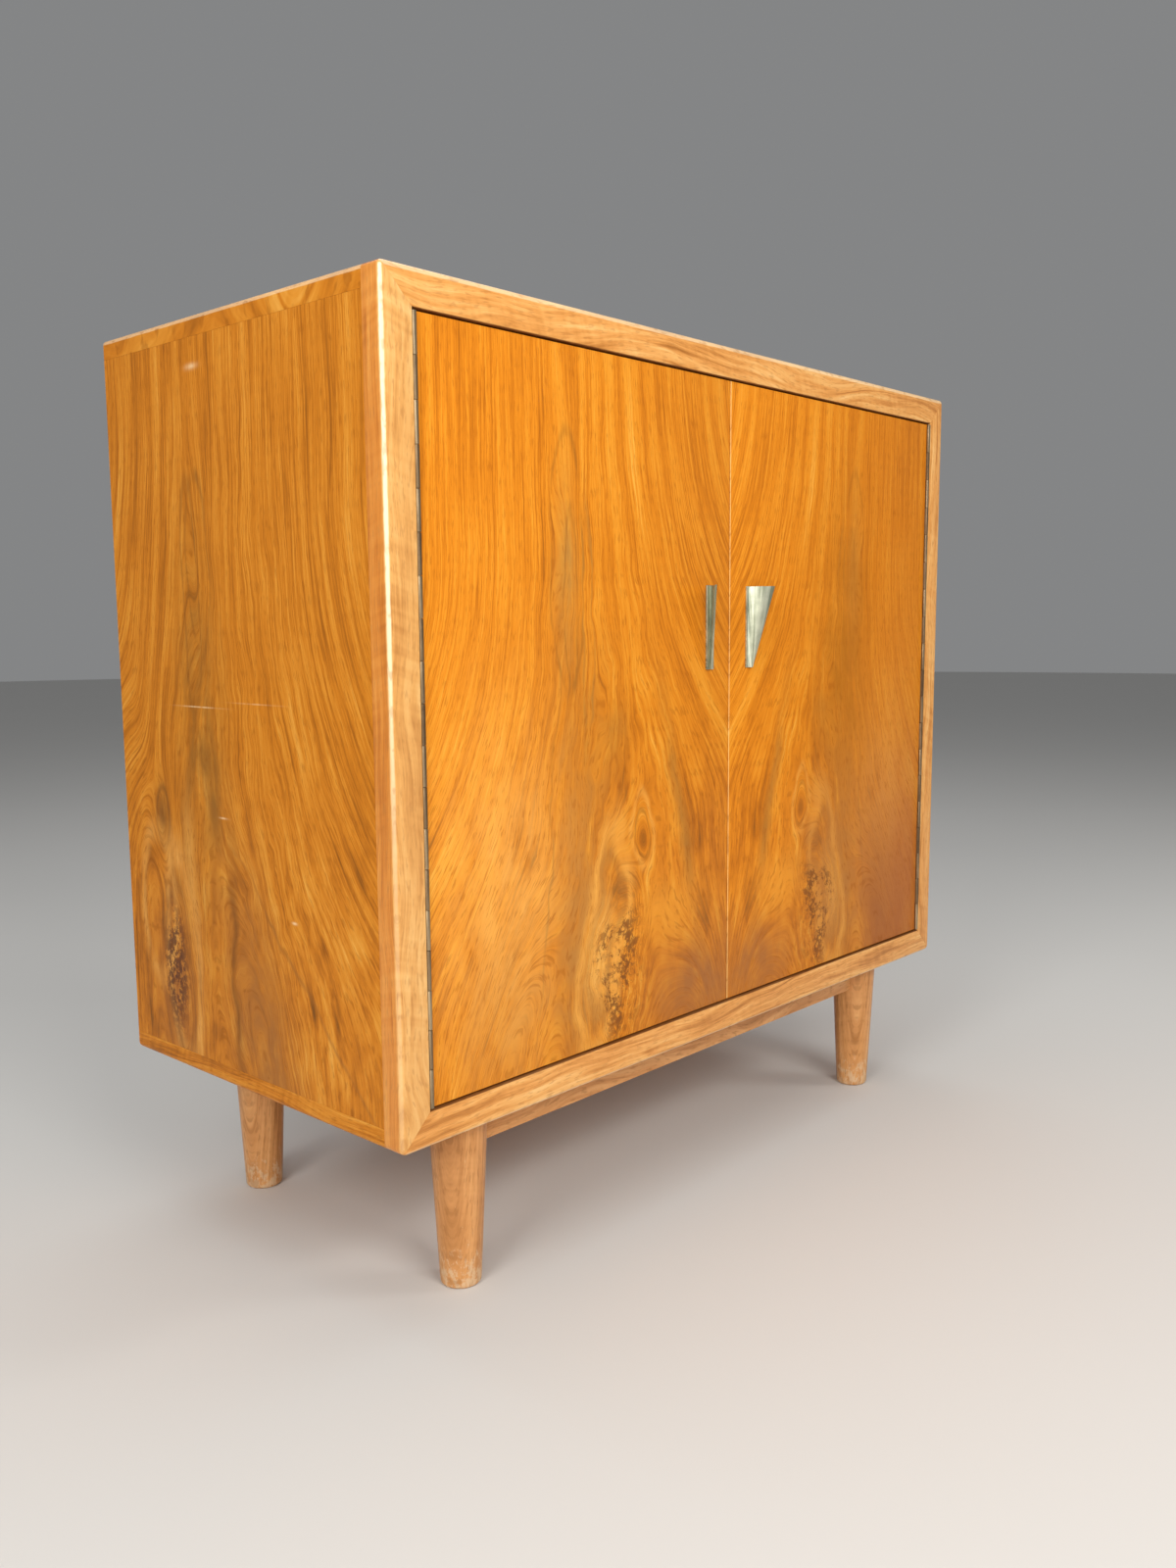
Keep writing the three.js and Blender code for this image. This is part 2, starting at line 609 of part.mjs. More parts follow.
// A flange on the door with a tapered wing that flares away from the meeting edge, made as the
// right-hand pull and mirrored for the left.
function buildPull(hand, sign) {
  const low = bottom + PULL_CENTRE_HEIGHT - PULL_HEIGHT / 2;
  const pullZ = [low, low + PULL_HEIGHT];
  const flangeBack = doorFront - GLUE;
  const flangeFront = doorFront - FLANGE_THICKNESS;
  let pull = block([PULL_OFFSET, PULL_OFFSET + FLANGE_WIDTH], [flangeFront, flangeBack], pullZ);

  const sink = FLANGE_THICKNESS / 2;
  const outline = new THREE.Shape([
    new THREE.Vector2(-sink, 0), new THREE.Vector2(WING_BOTTOM, 0),
    new THREE.Vector2(WING_TOP, PULL_HEIGHT), new THREE.Vector2(-sink, PULL_HEIGHT),
  ]);
  const wing = new THREE.ExtrudeGeometry(outline, { depth: WING_THICKNESS, bevelEnabled: false });
  wing.rotateX(Math.PI / 2);
  wing.rotateZ(-wingTilt);
  wing.translate(PULL_OFFSET + WING_ROOT + WING_THICKNESS, flangeFront, low);
  const inFrontOfDoor = block([0, openingHalfWidth], [front - CASE_DEPTH, flangeBack], pullZ);
  pull = pull.add(solid(wing).intersect(inFrontOfDoor));

  const bossStart = flangeFront + FLANGE_THICKNESS / 2;
  const bossEnd = doorFront + BOSS_LENGTH;
  for (const { x, z } of pullBossPlaces(1)) {
    pull = pull
      .add(rodAlongY(BOSS_RADIUS, SCREW_SIDES, x, z, bossStart, bossEnd))
      .subtract(rodAlongY(threadHole, SCREW_SIDES, x, z, doorFront, bossEnd + OVERRUN));
  }
  if (sign < 0) {
    pull = mirrored(pull);
  }
  add(`${hand}_pull`, pull, 'pullMetal');

  for (const { place, x, z } of pullBossPlaces(sign)) {
    const screw = screwForward(x, z, doorBack + GLUE, doorFront + PULL_SCREW_TIP);
    add(`${hand}_pull_screw_${place}`, screw, 'screwMetal');
  }
}

// Mirrors a solid in the plane between the doors, turning its faces back to point outwards.
function mirrored(manifold) {
  const geometry = geometryOf(manifold).scale(-1, 1, 1);
  const index = geometry.index.array;
  for (let i = 0; i < index.length; i += 3) {
    [index[i], index[i + 1]] = [index[i + 1], index[i]];
  }
  return solid(geometry);
}

function buildCatch(hand, sign) {
  const x = sign * CATCH_FROM_MEETING;
  const width = (size) => [x - size / 2, x + size / 2];
  const catchY = [boardFront, boardFront + CATCH_DEPTH];
  const catchZ = [innerTop - GLUE - CATCH_DROP, innerTop - GLUE];
  add(`${hand}_magnetic_catch`, block(width(CATCH_WIDTH), catchY, catchZ), 'catchPlastic');

  const strikeY = [doorBack + GLUE, doorBack + GLUE + STRIKE_THICKNESS];
  const strikeZ = [openingTop - STRIKE_BELOW_FRAME - STRIKE_HEIGHT, openingTop - STRIKE_BELOW_FRAME];
  add(`${hand}_strike_plate`, block(width(STRIKE_WIDTH), strikeY, strikeZ), 'screwMetal');
}

// ---------------------------------------------------------------- assembly

buildBox();
buildFrame();
buildBack();
buildInside();
buildUnderframe();
for (const [hand, sign] of hands) {
  buildDoor(hand, sign);
  buildHinge(hand, sign);
  buildPull(hand, sign);
  buildCatch(hand, sign);
}
for (const { name, x, z } of backScrewPlaces()) {
  add(name, screwForward(x, z, backOuter + GLUE, backInner - BACK_SCREW_GRIP + OVERRUN), 'screwMetal');
}

export default cabinet;
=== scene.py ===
"""Console television cabinet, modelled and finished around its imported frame.

Lengths are in metres in the frame's own axes: +Z up, the doors face -Y. Wood patterns are worked out in
millimetres, which is the scale that grain is read at.
"""

import logging
import math
from dataclasses import dataclass
from enum import Enum
from typing import Optional, Union

import bmesh
import bpy
from mathutils import Matrix, Vector


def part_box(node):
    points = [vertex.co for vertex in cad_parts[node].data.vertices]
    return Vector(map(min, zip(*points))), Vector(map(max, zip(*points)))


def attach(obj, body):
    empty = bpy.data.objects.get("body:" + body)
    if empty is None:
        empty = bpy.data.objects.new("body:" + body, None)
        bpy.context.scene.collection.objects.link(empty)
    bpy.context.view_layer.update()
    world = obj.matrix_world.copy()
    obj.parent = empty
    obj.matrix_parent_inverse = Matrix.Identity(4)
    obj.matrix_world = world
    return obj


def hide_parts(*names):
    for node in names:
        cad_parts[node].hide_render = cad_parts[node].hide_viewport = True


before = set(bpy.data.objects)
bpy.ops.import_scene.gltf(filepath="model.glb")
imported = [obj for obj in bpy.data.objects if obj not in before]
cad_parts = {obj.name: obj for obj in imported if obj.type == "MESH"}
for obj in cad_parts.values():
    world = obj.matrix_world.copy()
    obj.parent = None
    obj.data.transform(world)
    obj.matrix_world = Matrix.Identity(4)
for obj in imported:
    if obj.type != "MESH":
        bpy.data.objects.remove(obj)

LOG = logging.getLogger("cabinet")
MM = 0.001
MERGE = 1e-6  # metres; vertices closer than this are one
TOUCHING = 1e-7  # metres; a point this close to a plane lies on it
SHARP = math.radians(30)  # an edge that turns more than this is rounded
CREASE = math.radians(38)  # an edge that turns more than this is shaded as an edge
Colour = tuple[float, float, float]


class Axis(Enum):
    """The three axes of the frame."""

    X = 0
    Y = 1
    Z = 2


class Hand(Enum):
    """The two mirrored halves of the cabinet."""

    LEFT = ("left", -1.0)
    RIGHT = ("right", 1.0)

    @property
    def word(self) -> str:
        """The word that this half's node names start with."""
        return self.value[0]

    @property
    def sign(self) -> float:
        """Which way along X this half lies."""
        return self.value[1]

    @property
    def body(self) -> str:
        """The body that this half's door belongs to."""
        return f"{self.word}_door"


# ------------------------------------------------------------------------------------------ shader net


class Net:
    """A material's nodes, added one call at a time."""

    def __init__(self, name: str) -> None:
        """Starts an empty material.

        Args:
            name: the material's name.
        """
        self.material = bpy.data.materials.new(name)
        self.material.use_nodes = True
        self.tree = self.material.node_tree
        self.tree.nodes.clear()
        self.output = self.tree.nodes.new("ShaderNodeOutputMaterial")

    def add(
        self, kind: str, settings: Optional[dict] = None, sockets: Optional[dict] = None
    ) -> bpy.types.Node:
        """Adds one node.

        Args:
            kind: the node's type.
            settings: its properties, with a ramp's stops as {"stops": [(place, colour), ...]}.
            sockets: values or links for its inputs, by name or number.

        Returns:
            The new node.
        """
        node = self.tree.nodes.new(kind)
        for key, value in (settings or {}).items():
            if key == "stops":
                self._set_stops(node.color_ramp, value)
            else:
                setattr(node, key, value)
        for key, value in (sockets or {}).items():
            self._feed(node.inputs[key], value)
        return node

    @staticmethod
    def _set_stops(ramp: bpy.types.ColorRamp, stops: list[tuple[float, Colour]]) -> None:
        """Gives a ramp its stops.

        Args:
            ramp: the ramp to change.
            stops: places from 0 to 1 with their colours.
        """
        while len(ramp.elements) < len(stops):
            ramp.elements.new(1.0)
        for element, (place, colour) in zip(ramp.elements, stops):
            element.position = place
            element.color = (*colour, 1.0)

    def _feed(self, socket: bpy.types.NodeSocket, value: object) -> None:
        """Sets a socket to a value, or links it to another socket.

        Args:
            socket: the input to feed.
            value: a number, a tuple, a socket or a Value.
        """
        if isinstance(value, Value):
            self.tree.links.new(value.socket, socket)
        elif isinstance(value, bpy.types.NodeSocket):
            self.tree.links.new(value, socket)
        elif isinstance(value, tuple) and socket.type == "RGBA":
            socket.default_value = (*value[:3], 1.0)
        else:
            socket.default_value = value

    def place(self) -> list["Value"]:
        """The point being shaded, along X, Y and Z, in millimetres."""
        coordinates = self.add("ShaderNodeTexCoord").outputs["Object"]
        parts = self.add("ShaderNodeSeparateXYZ", sockets={0: coordinates})
        return [Value(self, parts.outputs[axis.value]) * (1.0 / MM) for axis in Axis]

    def vector(self, x: "Number", y: "Number", z: "Number") -> bpy.types.NodeSocket:
        """A vector made of three numbers."""
        return self.add("ShaderNodeCombineXYZ", sockets={0: x, 1: y, 2: z}).outputs[0]

    def noise(
        self, x: "Number", y: "Number", z: "Number", detail: float = 3.0, rough: float = 0.5
    ) -> "Value":
        """Noise with features about one unit across.

        Args:
            x: first coordinate.
            y: second coordinate.
            z: third coordinate, or a seed.
            detail: how many finer layers it has.
            rough: how strong the finer layers are.

        Returns:
            A value that stays close to 0 and lies mostly between -0.5 and 0.5.
        """
        sockets = {"Vector": self.vector(x, y, z), "Scale": 1.0, "Detail": detail, "Roughness": rough}
        node = self.add("ShaderNodeTexNoise", {"noise_dimensions": "3D"}, sockets)
        return Value(self, node.outputs[0]) - 0.5

    def ramp(self, factor: "Value", stops: list[tuple[float, Colour]]) -> bpy.types.NodeSocket:
        """A colour picked from a row of stops by a factor from 0 to 1."""
        return self.add("ShaderNodeValToRGB", {"stops": stops}, {0: factor}).outputs[0]

    def blend(self, factor: "Number", low: object, high: object, mode: str = "MIX") -> bpy.types.NodeSocket:
        """Mixes two colours.

        Args:
            factor: 0 for the first, 1 for the second.
            low: the first colour or link.
            high: the second colour or link.
            mode: how the second is laid over the first.

        Returns:
            The mixed colour's socket.
        """
        settings = {"data_type": "RGBA", "blend_type": mode, "clamp_factor": True}
        return self.add("ShaderNodeMix", settings, {0: factor, 6: low, 7: high}).outputs[2]

    def bump(self, height: "Value", depth: float) -> bpy.types.NodeSocket:
        """A normal tilted by a height.

        Args:
            height: the height, from 0 to 1.
            depth: how far apart 0 and 1 stand, in metres.

        Returns:
            The normal's socket.
        """
        sockets = {"Height": height, "Distance": depth, "Strength": 1.0}
        return self.add("ShaderNodeBump", sockets=sockets).outputs[0]

    def surface(self, varying: dict, fixed: dict) -> bpy.types.Material:
        """Finishes the material with a Principled shader.

        Args:
            varying: links for the inputs that change over the surface.
            fixed: values for the inputs that do not.

        Returns:
            The finished material.
        """
        shader = self.add("ShaderNodeBsdfPrincipled", sockets={**fixed, **varying})
        self.tree.links.new(shader.outputs[0], self.output.inputs[0])
        return self.material


class Value:
    """A number that varies over a surface, with Python's operators adding the Math nodes."""

    def __init__(self, net: Net, socket: bpy.types.NodeSocket) -> None:
        """Wraps a socket.

        Args:
            net: the net that the socket belongs to.
            socket: the output that carries the number.
        """
        self.net = net
        self.socket = socket

    def _maths(self, operation: str, first: "Number", second: "Number" = 0.0) -> "Value":
        """One Math node on two numbers."""
        node = self.net.add("ShaderNodeMath", {"operation": operation}, {0: first, 1: second})
        return Value(self.net, node.outputs[0])

    def __add__(self, other: "Number") -> "Value":
        """self + other."""
        return self._maths("ADD", self, other)

    __radd__ = __add__

    def __sub__(self, other: "Number") -> "Value":
        """self - other."""
        return self._maths("SUBTRACT", self, other)

    def __rsub__(self, other: "Number") -> "Value":
        """other - self."""
        return self._maths("SUBTRACT", other, self)

    def __mul__(self, other: "Number") -> "Value":
        """self * other."""
        return self._maths("MULTIPLY", self, other)

    __rmul__ = __mul__

    def __abs__(self) -> "Value":
        """The size of the number without its sign."""
        return self._maths("ABSOLUTE", self)

    def squared(self) -> "Value":
        """The number times itself."""
        return self * self

    def root(self) -> "Value":
        """The square root."""
        return self._maths("SQRT", self)

    def __truediv__(self, other: "Number") -> "Value":
        """self / other."""
        return self._maths("DIVIDE", self, other)

    def exp(self) -> "Value":
        """e to this power."""
        return self._maths("EXPONENT", self)

    def step(self, low: float, high: float) -> "Value":
        """A smooth step.

        Args:
            low: where it is still 0.
            high: where it has become 1.

        Returns:
            A value from 0 to 1.
        """
        settings = {"interpolation_type": "SMOOTHSTEP"}
        flip = low > high
        ends = {1: min(low, high), 2: max(low, high), 3: float(flip), 4: float(not flip)}
        return Value(self.net, self.net.add("ShaderNodeMapRange", settings, {0: self, **ends}).outputs[0])


Number = Union[float, Value]


# ------------------------------------------------------------------------------------------ finishes


@dataclass(frozen=True)
class WoodTones:
    """Colours of one walnut, from its dark late wood to its pale early wood.

    Attributes:
        streak: the darkest lines.
        dark: late wood.
        middle: the usual colour.
        light: early wood.
        glow: the brightest flecks.
        pore: the short dark dashes of the open pores.
    """

    streak: Colour
    dark: Colour
    middle: Colour
    light: Colour
    glow: Colour
    pore: Colour

    def stops(self) -> list[tuple[float, Colour]]:
        """Ramp stops for a tone from 0 to 1."""
        return [
            (0.0, self.streak), (0.27, self.dark), (0.52, self.middle), (0.76, self.light), (1.0, self.glow),
        ]


DOOR_TONES = WoodTones(
    (0.24, 0.080, 0.009), (0.47, 0.140, 0.008), (0.64, 0.208, 0.012),
    (0.72, 0.275, 0.022), (0.80, 0.375, 0.055), (0.30, 0.075, 0.005),
)
SIDE_TONES = WoodTones(
    (0.19, 0.070, 0.010), (0.38, 0.122, 0.010), (0.555, 0.186, 0.014),
    (0.66, 0.260, 0.028), (0.74, 0.350, 0.060), (0.25, 0.070, 0.006),
)
SOLID_TONES = WoodTones(
    (0.36, 0.150, 0.035), (0.52, 0.230, 0.060), (0.68, 0.340, 0.100),
    (0.76, 0.430, 0.150), (0.82, 0.520, 0.210), (0.40, 0.170, 0.045),
)
RAIL_TONES = WoodTones(
    (0.34, 0.125, 0.022), (0.50, 0.195, 0.040), (0.68, 0.300, 0.075),
    (0.76, 0.390, 0.120), (0.82, 0.480, 0.180), (0.38, 0.150, 0.035),
)
LEG_TONES = WoodTones(
    (0.29, 0.115, 0.030), (0.42, 0.178, 0.052), (0.58, 0.265, 0.088),
    (0.68, 0.345, 0.128), (0.74, 0.410, 0.170), (0.28, 0.110, 0.028),
)
INSIDE_TONES = WoodTones(
    (0.24, 0.115, 0.045), (0.34, 0.175, 0.072), (0.44, 0.240, 0.105),
    (0.52, 0.310, 0.150), (0.58, 0.370, 0.190), (0.22, 0.105, 0.045),
)


@dataclass(frozen=True)
class Lacquer:
    """The coat over a wood.

    Attributes:
        roughness: of the wood under the coat.
        coat: how much of a clear coat there is.
        coat_roughness: how dull that coat is.
        pore_depth: depth of the open pores, in metres.
        sheen: how much the wood under the coat reflects.
        index: refractive index of the lacquer.
    """

    roughness: float = 0.42
    coat: float = 0.14
    coat_roughness: float = 0.10
    pore_depth: float = 0.00008
    sheen: float = 0.05
    index: float = 1.42

    def fixed(self) -> dict:
        """The shader inputs that are the same all over."""
        return {
            "Coat Roughness": self.coat_roughness,
            "Coat IOR": self.index,
            "IOR": self.index,
            "Specular IOR Level": self.sheen,
        }


GLOSS = Lacquer()
SATIN = Lacquer(roughness=0.40, coat=0.30, coat_roughness=0.16, sheen=0.25)
BARE = Lacquer(roughness=0.62, coat=0.05, coat_roughness=0.4, pore_depth=0.00012, sheen=0.25)


@dataclass(frozen=True)
class Grain:
    """How a leaf or board of walnut reads once its ring value is known.

    Attributes:
        tones: its colours.
        lacquer: its coat.
        bands: width of a broad growth band, in millimetres of ring value.
        lines: width of a fine line, in millimetres of ring value.
        contrast: how far the bands move the tone.
        band_length: how far a broad band runs before it changes, in millimetres.
        line_length: how far a fine line runs, in millimetres.
        haze_size: width and length of the soft patches, in millimetres.
        vein_length: how far a dark drawn vein runs, in millimetres.
        pore_size: width and length of a pore, in millimetres.
        pore_shade: how much the pores darken the wood.
        smear_size: size of the dull patches in the coat, in millimetres.
        ripple_size: size of the coat's slow ripple, in millimetres.
    """

    tones: WoodTones
    lacquer: Lacquer
    bands: float = 12.0
    lines: float = 2.2
    contrast: float = 1.0
    band_length: float = 420.0
    line_length: float = 130.0
    haze_size: tuple[float, float] = (60.0, 110.0)
    vein_length: float = 800.0
    pore_size: tuple[float, float] = (1.1, 13.0)
    pore_shade: float = 0.38
    smear_size: float = 70.0
    ripple_size: float = 45.0

    def tone(self, net: Net, ring: Value, along: Value, seed: Number) -> Value:
        """The tone from dark to light.

        Args:
            net: the material's net.
            ring: the ring value, in millimetres.
            along: the place along the grain, in millimetres.
            seed: sets one piece's pattern apart from another's.

        Returns:
            A value from about 0 to 1, with 0.5 in the middle.
        """
        wide, tall = self.haze_size
        spacing = self.bands * 1.6
        broad = net.noise(ring * (1 / self.bands), along * (1 / self.band_length), seed, detail=2.0)
        fine = net.noise(
            ring * (1 / self.lines), along * (1 / self.line_length), seed + 1.0, detail=4.0, rough=0.7
        )
        haze = net.noise(ring * (1 / wide), along * (1 / tall), seed + 2.0, detail=2.0)
        crossing = abs(
            net.noise(ring * (1 / spacing), along * (1 / self.vein_length), seed + 3.0, detail=2.0)
        )
        veins = crossing.step(0.022, 0.0) * (haze * 2.5 + 0.62).step(0.2, 1.0)
        return (broad * 0.95 + fine * 1.55 + haze * 0.45 - veins * 0.30) * self.contrast + 0.56

    def pores(self, net: Net, ring: Value, along: Value, seed: Number) -> Value:
        """Short dashes along the grain: 1 in a pore, 0 between them."""
        wide, tall = self.pore_size
        dash = net.noise(ring * (1 / wide), along * (1 / tall), seed, detail=2.0)
        return dash.step(0.03, 0.17)

    def dress(
        self, net: Net, colour: object, pores: Value, wear: Optional[Value] = None
    ) -> bpy.types.Material:
        """Finishes the material under its lacquer.

        Args:
            net: the material's net.
            colour: the wood's colour before its pores.
            pores: the mask of open pores.
            wear: where the coat is worn thin, from 0 to 1.

        Returns:
            The finished material.
        """
        base = net.blend(pores * self.pore_shade, colour, self.tones.pore)
        place = net.place()
        smear = net.noise(*(value * (1 / self.smear_size) for value in place), detail=3.0)
        roughness = smear * 0.12 + pores * 0.10 + self.lacquer.roughness
        coat = self.lacquer.coat - smear * 0.10
        if wear is not None:
            roughness = roughness + wear * 0.25
            coat = coat - wear * self.lacquer.coat
        ripple = net.noise(*(value * (1 / self.ripple_size) for value in place), detail=1.0)
        height = (1 - pores) * 0.5 + ripple * 0.5
        normal = net.bump(height, self.lacquer.pore_depth)
        varying = {"Base Color": base, "Roughness": roughness, "Coat Weight": coat, "Normal": normal}
        return net.surface(varying, self.lacquer.fixed())


@dataclass(frozen=True)
class Swell:
    """A place where the growth rings bulge through the leaf, in millimetres.

    Attributes:
        across: its place across the leaf.
        up: its height on the leaf.
        width: how wide it is.
        height: how tall it is.
        rise: how far it lifts the ring value.
        tilt: how far its middle moves across for each millimetre up.
    """

    across: float
    up: float
    width: float
    height: float
    rise: float
    tilt: float = 0.0

    def mound(self, across: Value, up: Value) -> Value:
        """A smooth mound from 1 at the middle to 0 well outside it."""
        centre = (up - self.up) * self.tilt + self.across if self.tilt else self.across
        sideways = (across - centre) * (1 / self.width)
        upwards = (up - self.up) * (1 / self.height)
        return ((sideways.squared() + upwards.squared()) * -1.0).exp()


OUTLINE_LEVEL = 0.37  # the height of a mound at its own width, which an outline follows


@dataclass(frozen=True)
class Stain:
    """A patch of another colour in the leaf.

    Attributes:
        place: where it lies; its rise is how strong the patch is, from 0 to 1.
        colour: the patch's colour.
        break_up: how ragged its edge is.
        outline: half the width of a line round the patch, as a share of its height, or 0 to fill it.
    """

    place: Swell
    colour: Colour
    break_up: float = 0.8
    outline: float = 0.0

    def mask(self, across: Value, up: Value, ragged: Value) -> Value:
        """Where the patch shows.

        Args:
            across: place across the leaf.
            up: height on the leaf.
            ragged: noise that follows the grain.

        Returns:
            A value from about 0 to 1.
        """
        shown = self.place.mound(across, up)
        if self.outline:
            shown = abs(shown - OUTLINE_LEVEL).step(self.outline, 0.0)
        return shown * (ragged * (3.2 * self.break_up) + 1.0) * self.place.rise


@dataclass(frozen=True)
class Burl:
    """A swirled knot with dark specks.

    Attributes:
        place: where it lies.
        swirl: how strongly it twists the tone.
        specks: how much of it is dark, from 0 to 1.
        colour: colour of the specks.
        swirl_size: width and height of a swirl, in millimetres.
        grit_size: width and height of a speck, in millimetres.
        cloud_size: width and height of the clusters of specks, in millimetres.
    """

    place: Swell
    swirl: float
    specks: float
    colour: Colour
    swirl_size: tuple[float, float] = (8.0, 12.0)
    grit_size: tuple[float, float] = (4.5, 7.0)
    cloud_size: tuple[float, float] = (22.0, 30.0)

    def twist(self, net: Net, across: Value, up: Value, knot: Value, seed: float) -> Value:
        """What the swirls add to the tone.

        Args:
            net: the material's net.
            across: place across the leaf.
            up: height on the leaf.
            knot: the knot's own mound.
            seed: sets one knot apart from another.

        Returns:
            A value that is 0 well outside the knot.
        """
        wide, tall = self.swirl_size
        swirls = net.noise(across * (1 / wide), up * (1 / tall), seed, detail=4.0, rough=0.65)
        return swirls * knot * self.swirl

    def speckle(self, net: Net, across: Value, up: Value, knot: Value, seed: float) -> Value:
        """The mask of dark specks.

        Args:
            net: the material's net.
            across: place across the leaf.
            up: height on the leaf.
            knot: the knot's own mound.
            seed: sets one knot apart from another.

        Returns:
            A value from 0 to 1.
        """
        wide, tall = self.grit_size
        grit = net.noise(across * (1 / wide), up * (1 / tall), seed + 7.0, detail=4.0, rough=0.75)
        wide, tall = self.cloud_size
        cloud = net.noise(across * (1 / wide), up * (1 / tall), seed + 8.0, detail=2.0)
        shown = grit + cloud * 0.8 + (self.specks - 0.5) * 0.6
        return shown.step(0.0, 0.13) * knot.step(0.06, 0.75)


@dataclass(frozen=True)
class Fan:
    """How the lines spread out below a height.

    Attributes:
        foot: spacing of the lines at the foot, as a share of their spacing at the top.
        low: height where they are fully spread, in millimetres.
        high: height where they start to spread, in millimetres.
    """

    foot: float
    low: float
    high: float

    def spread(self, up: Value) -> Value:
        """The share of the top spacing at a height."""
        return up.step(self.low, self.high) * (1 - self.foot) + self.foot


@dataclass(frozen=True)
class FiguredVeneer:
    """Walnut veneer cut through the crotch of the trunk: straight above, arched and swirled below.

    Attributes:
        name: the material's name.
        grain: its tones and coat.
        across: the axis across the leaf.
        origin: where the leaf is measured from along that axis, in metres.
        both_ways: True to measure both ways from there, and so book-match.
        foot: height of the lower edge of the leaf, in metres.
        centre: the place across the leaf that the lines fan out from, in millimetres.
        near_fan: the fan between the origin and the centre.
        far_fan: the fan past the centre.
        swells: where the rings bulge.
        stains: patches of other colours.
        burl: the swirled knot.
        worn_edge: width of the pale line along the leaf's origin, in millimetres: a painted highlight on the
            meeting arris, over some wear.
        seed: sets one leaf apart from another.
        arris_wear: places across the leaf between which that pale line starts, in millimetres.
        bare_wood: colour of that pale line, painted highlight over worn wood.
        tongue_size: width and height of a gold or brown tongue, in millimetres.
        tongue_reach: heights that the tongues fade out and are strongest at, in millimetres.
    """

    name: str
    grain: Grain
    across: Axis
    origin: float
    both_ways: bool
    foot: float
    centre: float
    near_fan: Fan
    far_fan: Fan
    swells: tuple[Swell, ...]
    stains: tuple[Stain, ...]
    burl: Burl
    worn_edge: float
    seed: float
    arris_wear: tuple[float, float] = (0.62, 0.80)
    bare_wood: Colour = (0.86, 0.52, 0.19)
    tongue_size: tuple[float, float] = (24.0, 62.0)
    tongue_reach: tuple[float, float] = (430.0, 90.0)

    def build(self) -> bpy.types.Material:
        """Makes the material."""
        net = Net(self.name)
        place = net.place()
        across = place[self.across.value] - self.origin / MM
        across = abs(across) if self.both_ways else across
        up = place[Axis.Z.value] - self.foot / MM
        ring, wandered = self.ring(net, across, up)
        tone = self.grain.tone(net, ring, up, self.seed)
        knot = self.burl.place.mound(wandered, up)
        tone = tone + self.burl.twist(net, wandered, up, knot, self.seed)
        tone = tone + self.flame(net, wandered, ring, up)
        colour = net.ramp(tone, self.grain.tones.stops())
        frayed = net.noise(ring * (1 / 7), up * (1 / 70), self.seed + 3.0, detail=3.0, rough=0.6)
        patchy = net.noise(wandered * (1 / 28), up * (1 / 45), self.seed + 29.0, detail=3.0, rough=0.6)
        ragged = frayed * 0.7 + patchy * 0.8
        for stain in self.stains:
            colour = net.blend(stain.mask(wandered, up, ragged), colour, stain.colour)
        specks = self.burl.speckle(net, wandered, up, knot, self.seed)
        colour = net.blend(specks * 0.85, colour, self.burl.colour)
        # The pale line along the meeting edge is painted highlight where the arris catches the light, over
        # some wear.
        if self.worn_edge:
            worn = across.step(self.worn_edge, self.worn_edge * 0.6) * across.step(*self.arris_wear)
            colour = net.blend(worn * 0.8, colour, self.bare_wood)
        pores = self.grain.pores(net, ring, up, self.seed)
        return self.grain.dress(net, colour, pores)

    def flame(self, net: Net, across: Value, ring: Value, up: Value) -> Value:
        """Gold and brown tongues over the lower part of the leaf.

        Args:
            net: the material's net.
            across: place across the leaf.
            ring: the ring value.
            up: height on the leaf.

        Returns:
            What they add to the tone.
        """
        wide, tall = self.tongue_size
        tongues = net.noise(
            across * (1 / wide), up * (1 / tall), self.seed + 19.0, detail=3.0, rough=0.55
        )
        slant = across * (1 / 45) + up * (1 / 75)
        licks = net.noise(ring * (1 / 5), slant, self.seed + 23.0, detail=3.0, rough=0.6)
        return (tongues * 1.05 + licks * 0.70) * up.step(*self.tongue_reach)

    def ring(self, net: Net, across: Value, up: Value) -> tuple[Value, Value]:
        """The ring value over the leaf.

        Args:
            net: the material's net.
            across: place across the leaf.
            up: height on the leaf.

        Returns:
            The ring value, and the place across the leaf once it has wandered.
        """
        far = across.step(self.centre - 50, self.centre + 50)
        spread = self.near_fan.spread(up) * (1 - far) + self.far_fan.spread(up) * far
        middle = Swell(self.centre - 20, 160.0, 110.0, 360.0, 1.0).mound(across, up)
        drift = net.noise(across * (1 / 60), up * (1 / 110), self.seed + 11.0, detail=2.0, rough=0.45)
        quiver = net.noise(across * (1 / 18), up * (1 / 40), self.seed + 13.0, detail=2.0)
        lean = net.noise(across * (1 / 260), up * (1 / 420), self.seed + 17.0, detail=1.0)
        wandered = across + drift * (middle * 44.0 + 4.0) + quiver * (middle * 11.0 + 0.8) + lean * 16.0
        ring = (wandered - self.centre) * spread
        for swell in self.swells:
            ring = ring + swell.mound(wandered, up) * swell.rise
        return ring, wandered


@dataclass(frozen=True)
class Face:
    """A flat face of the cabinet, as an edge's neighbour.

    Attributes:
        axis: the axis that the face looks along.
        place: where it lies, in metres.
        inward: 1 or -1, the way into the wood along that axis.
    """

    axis: Axis
    place: float
    inward: float

    def depth(self, place: list[Value]) -> Value:
        """How deep a point lies under this face, in millimetres."""
        return (place[self.axis.value] - self.place / MM) * self.inward


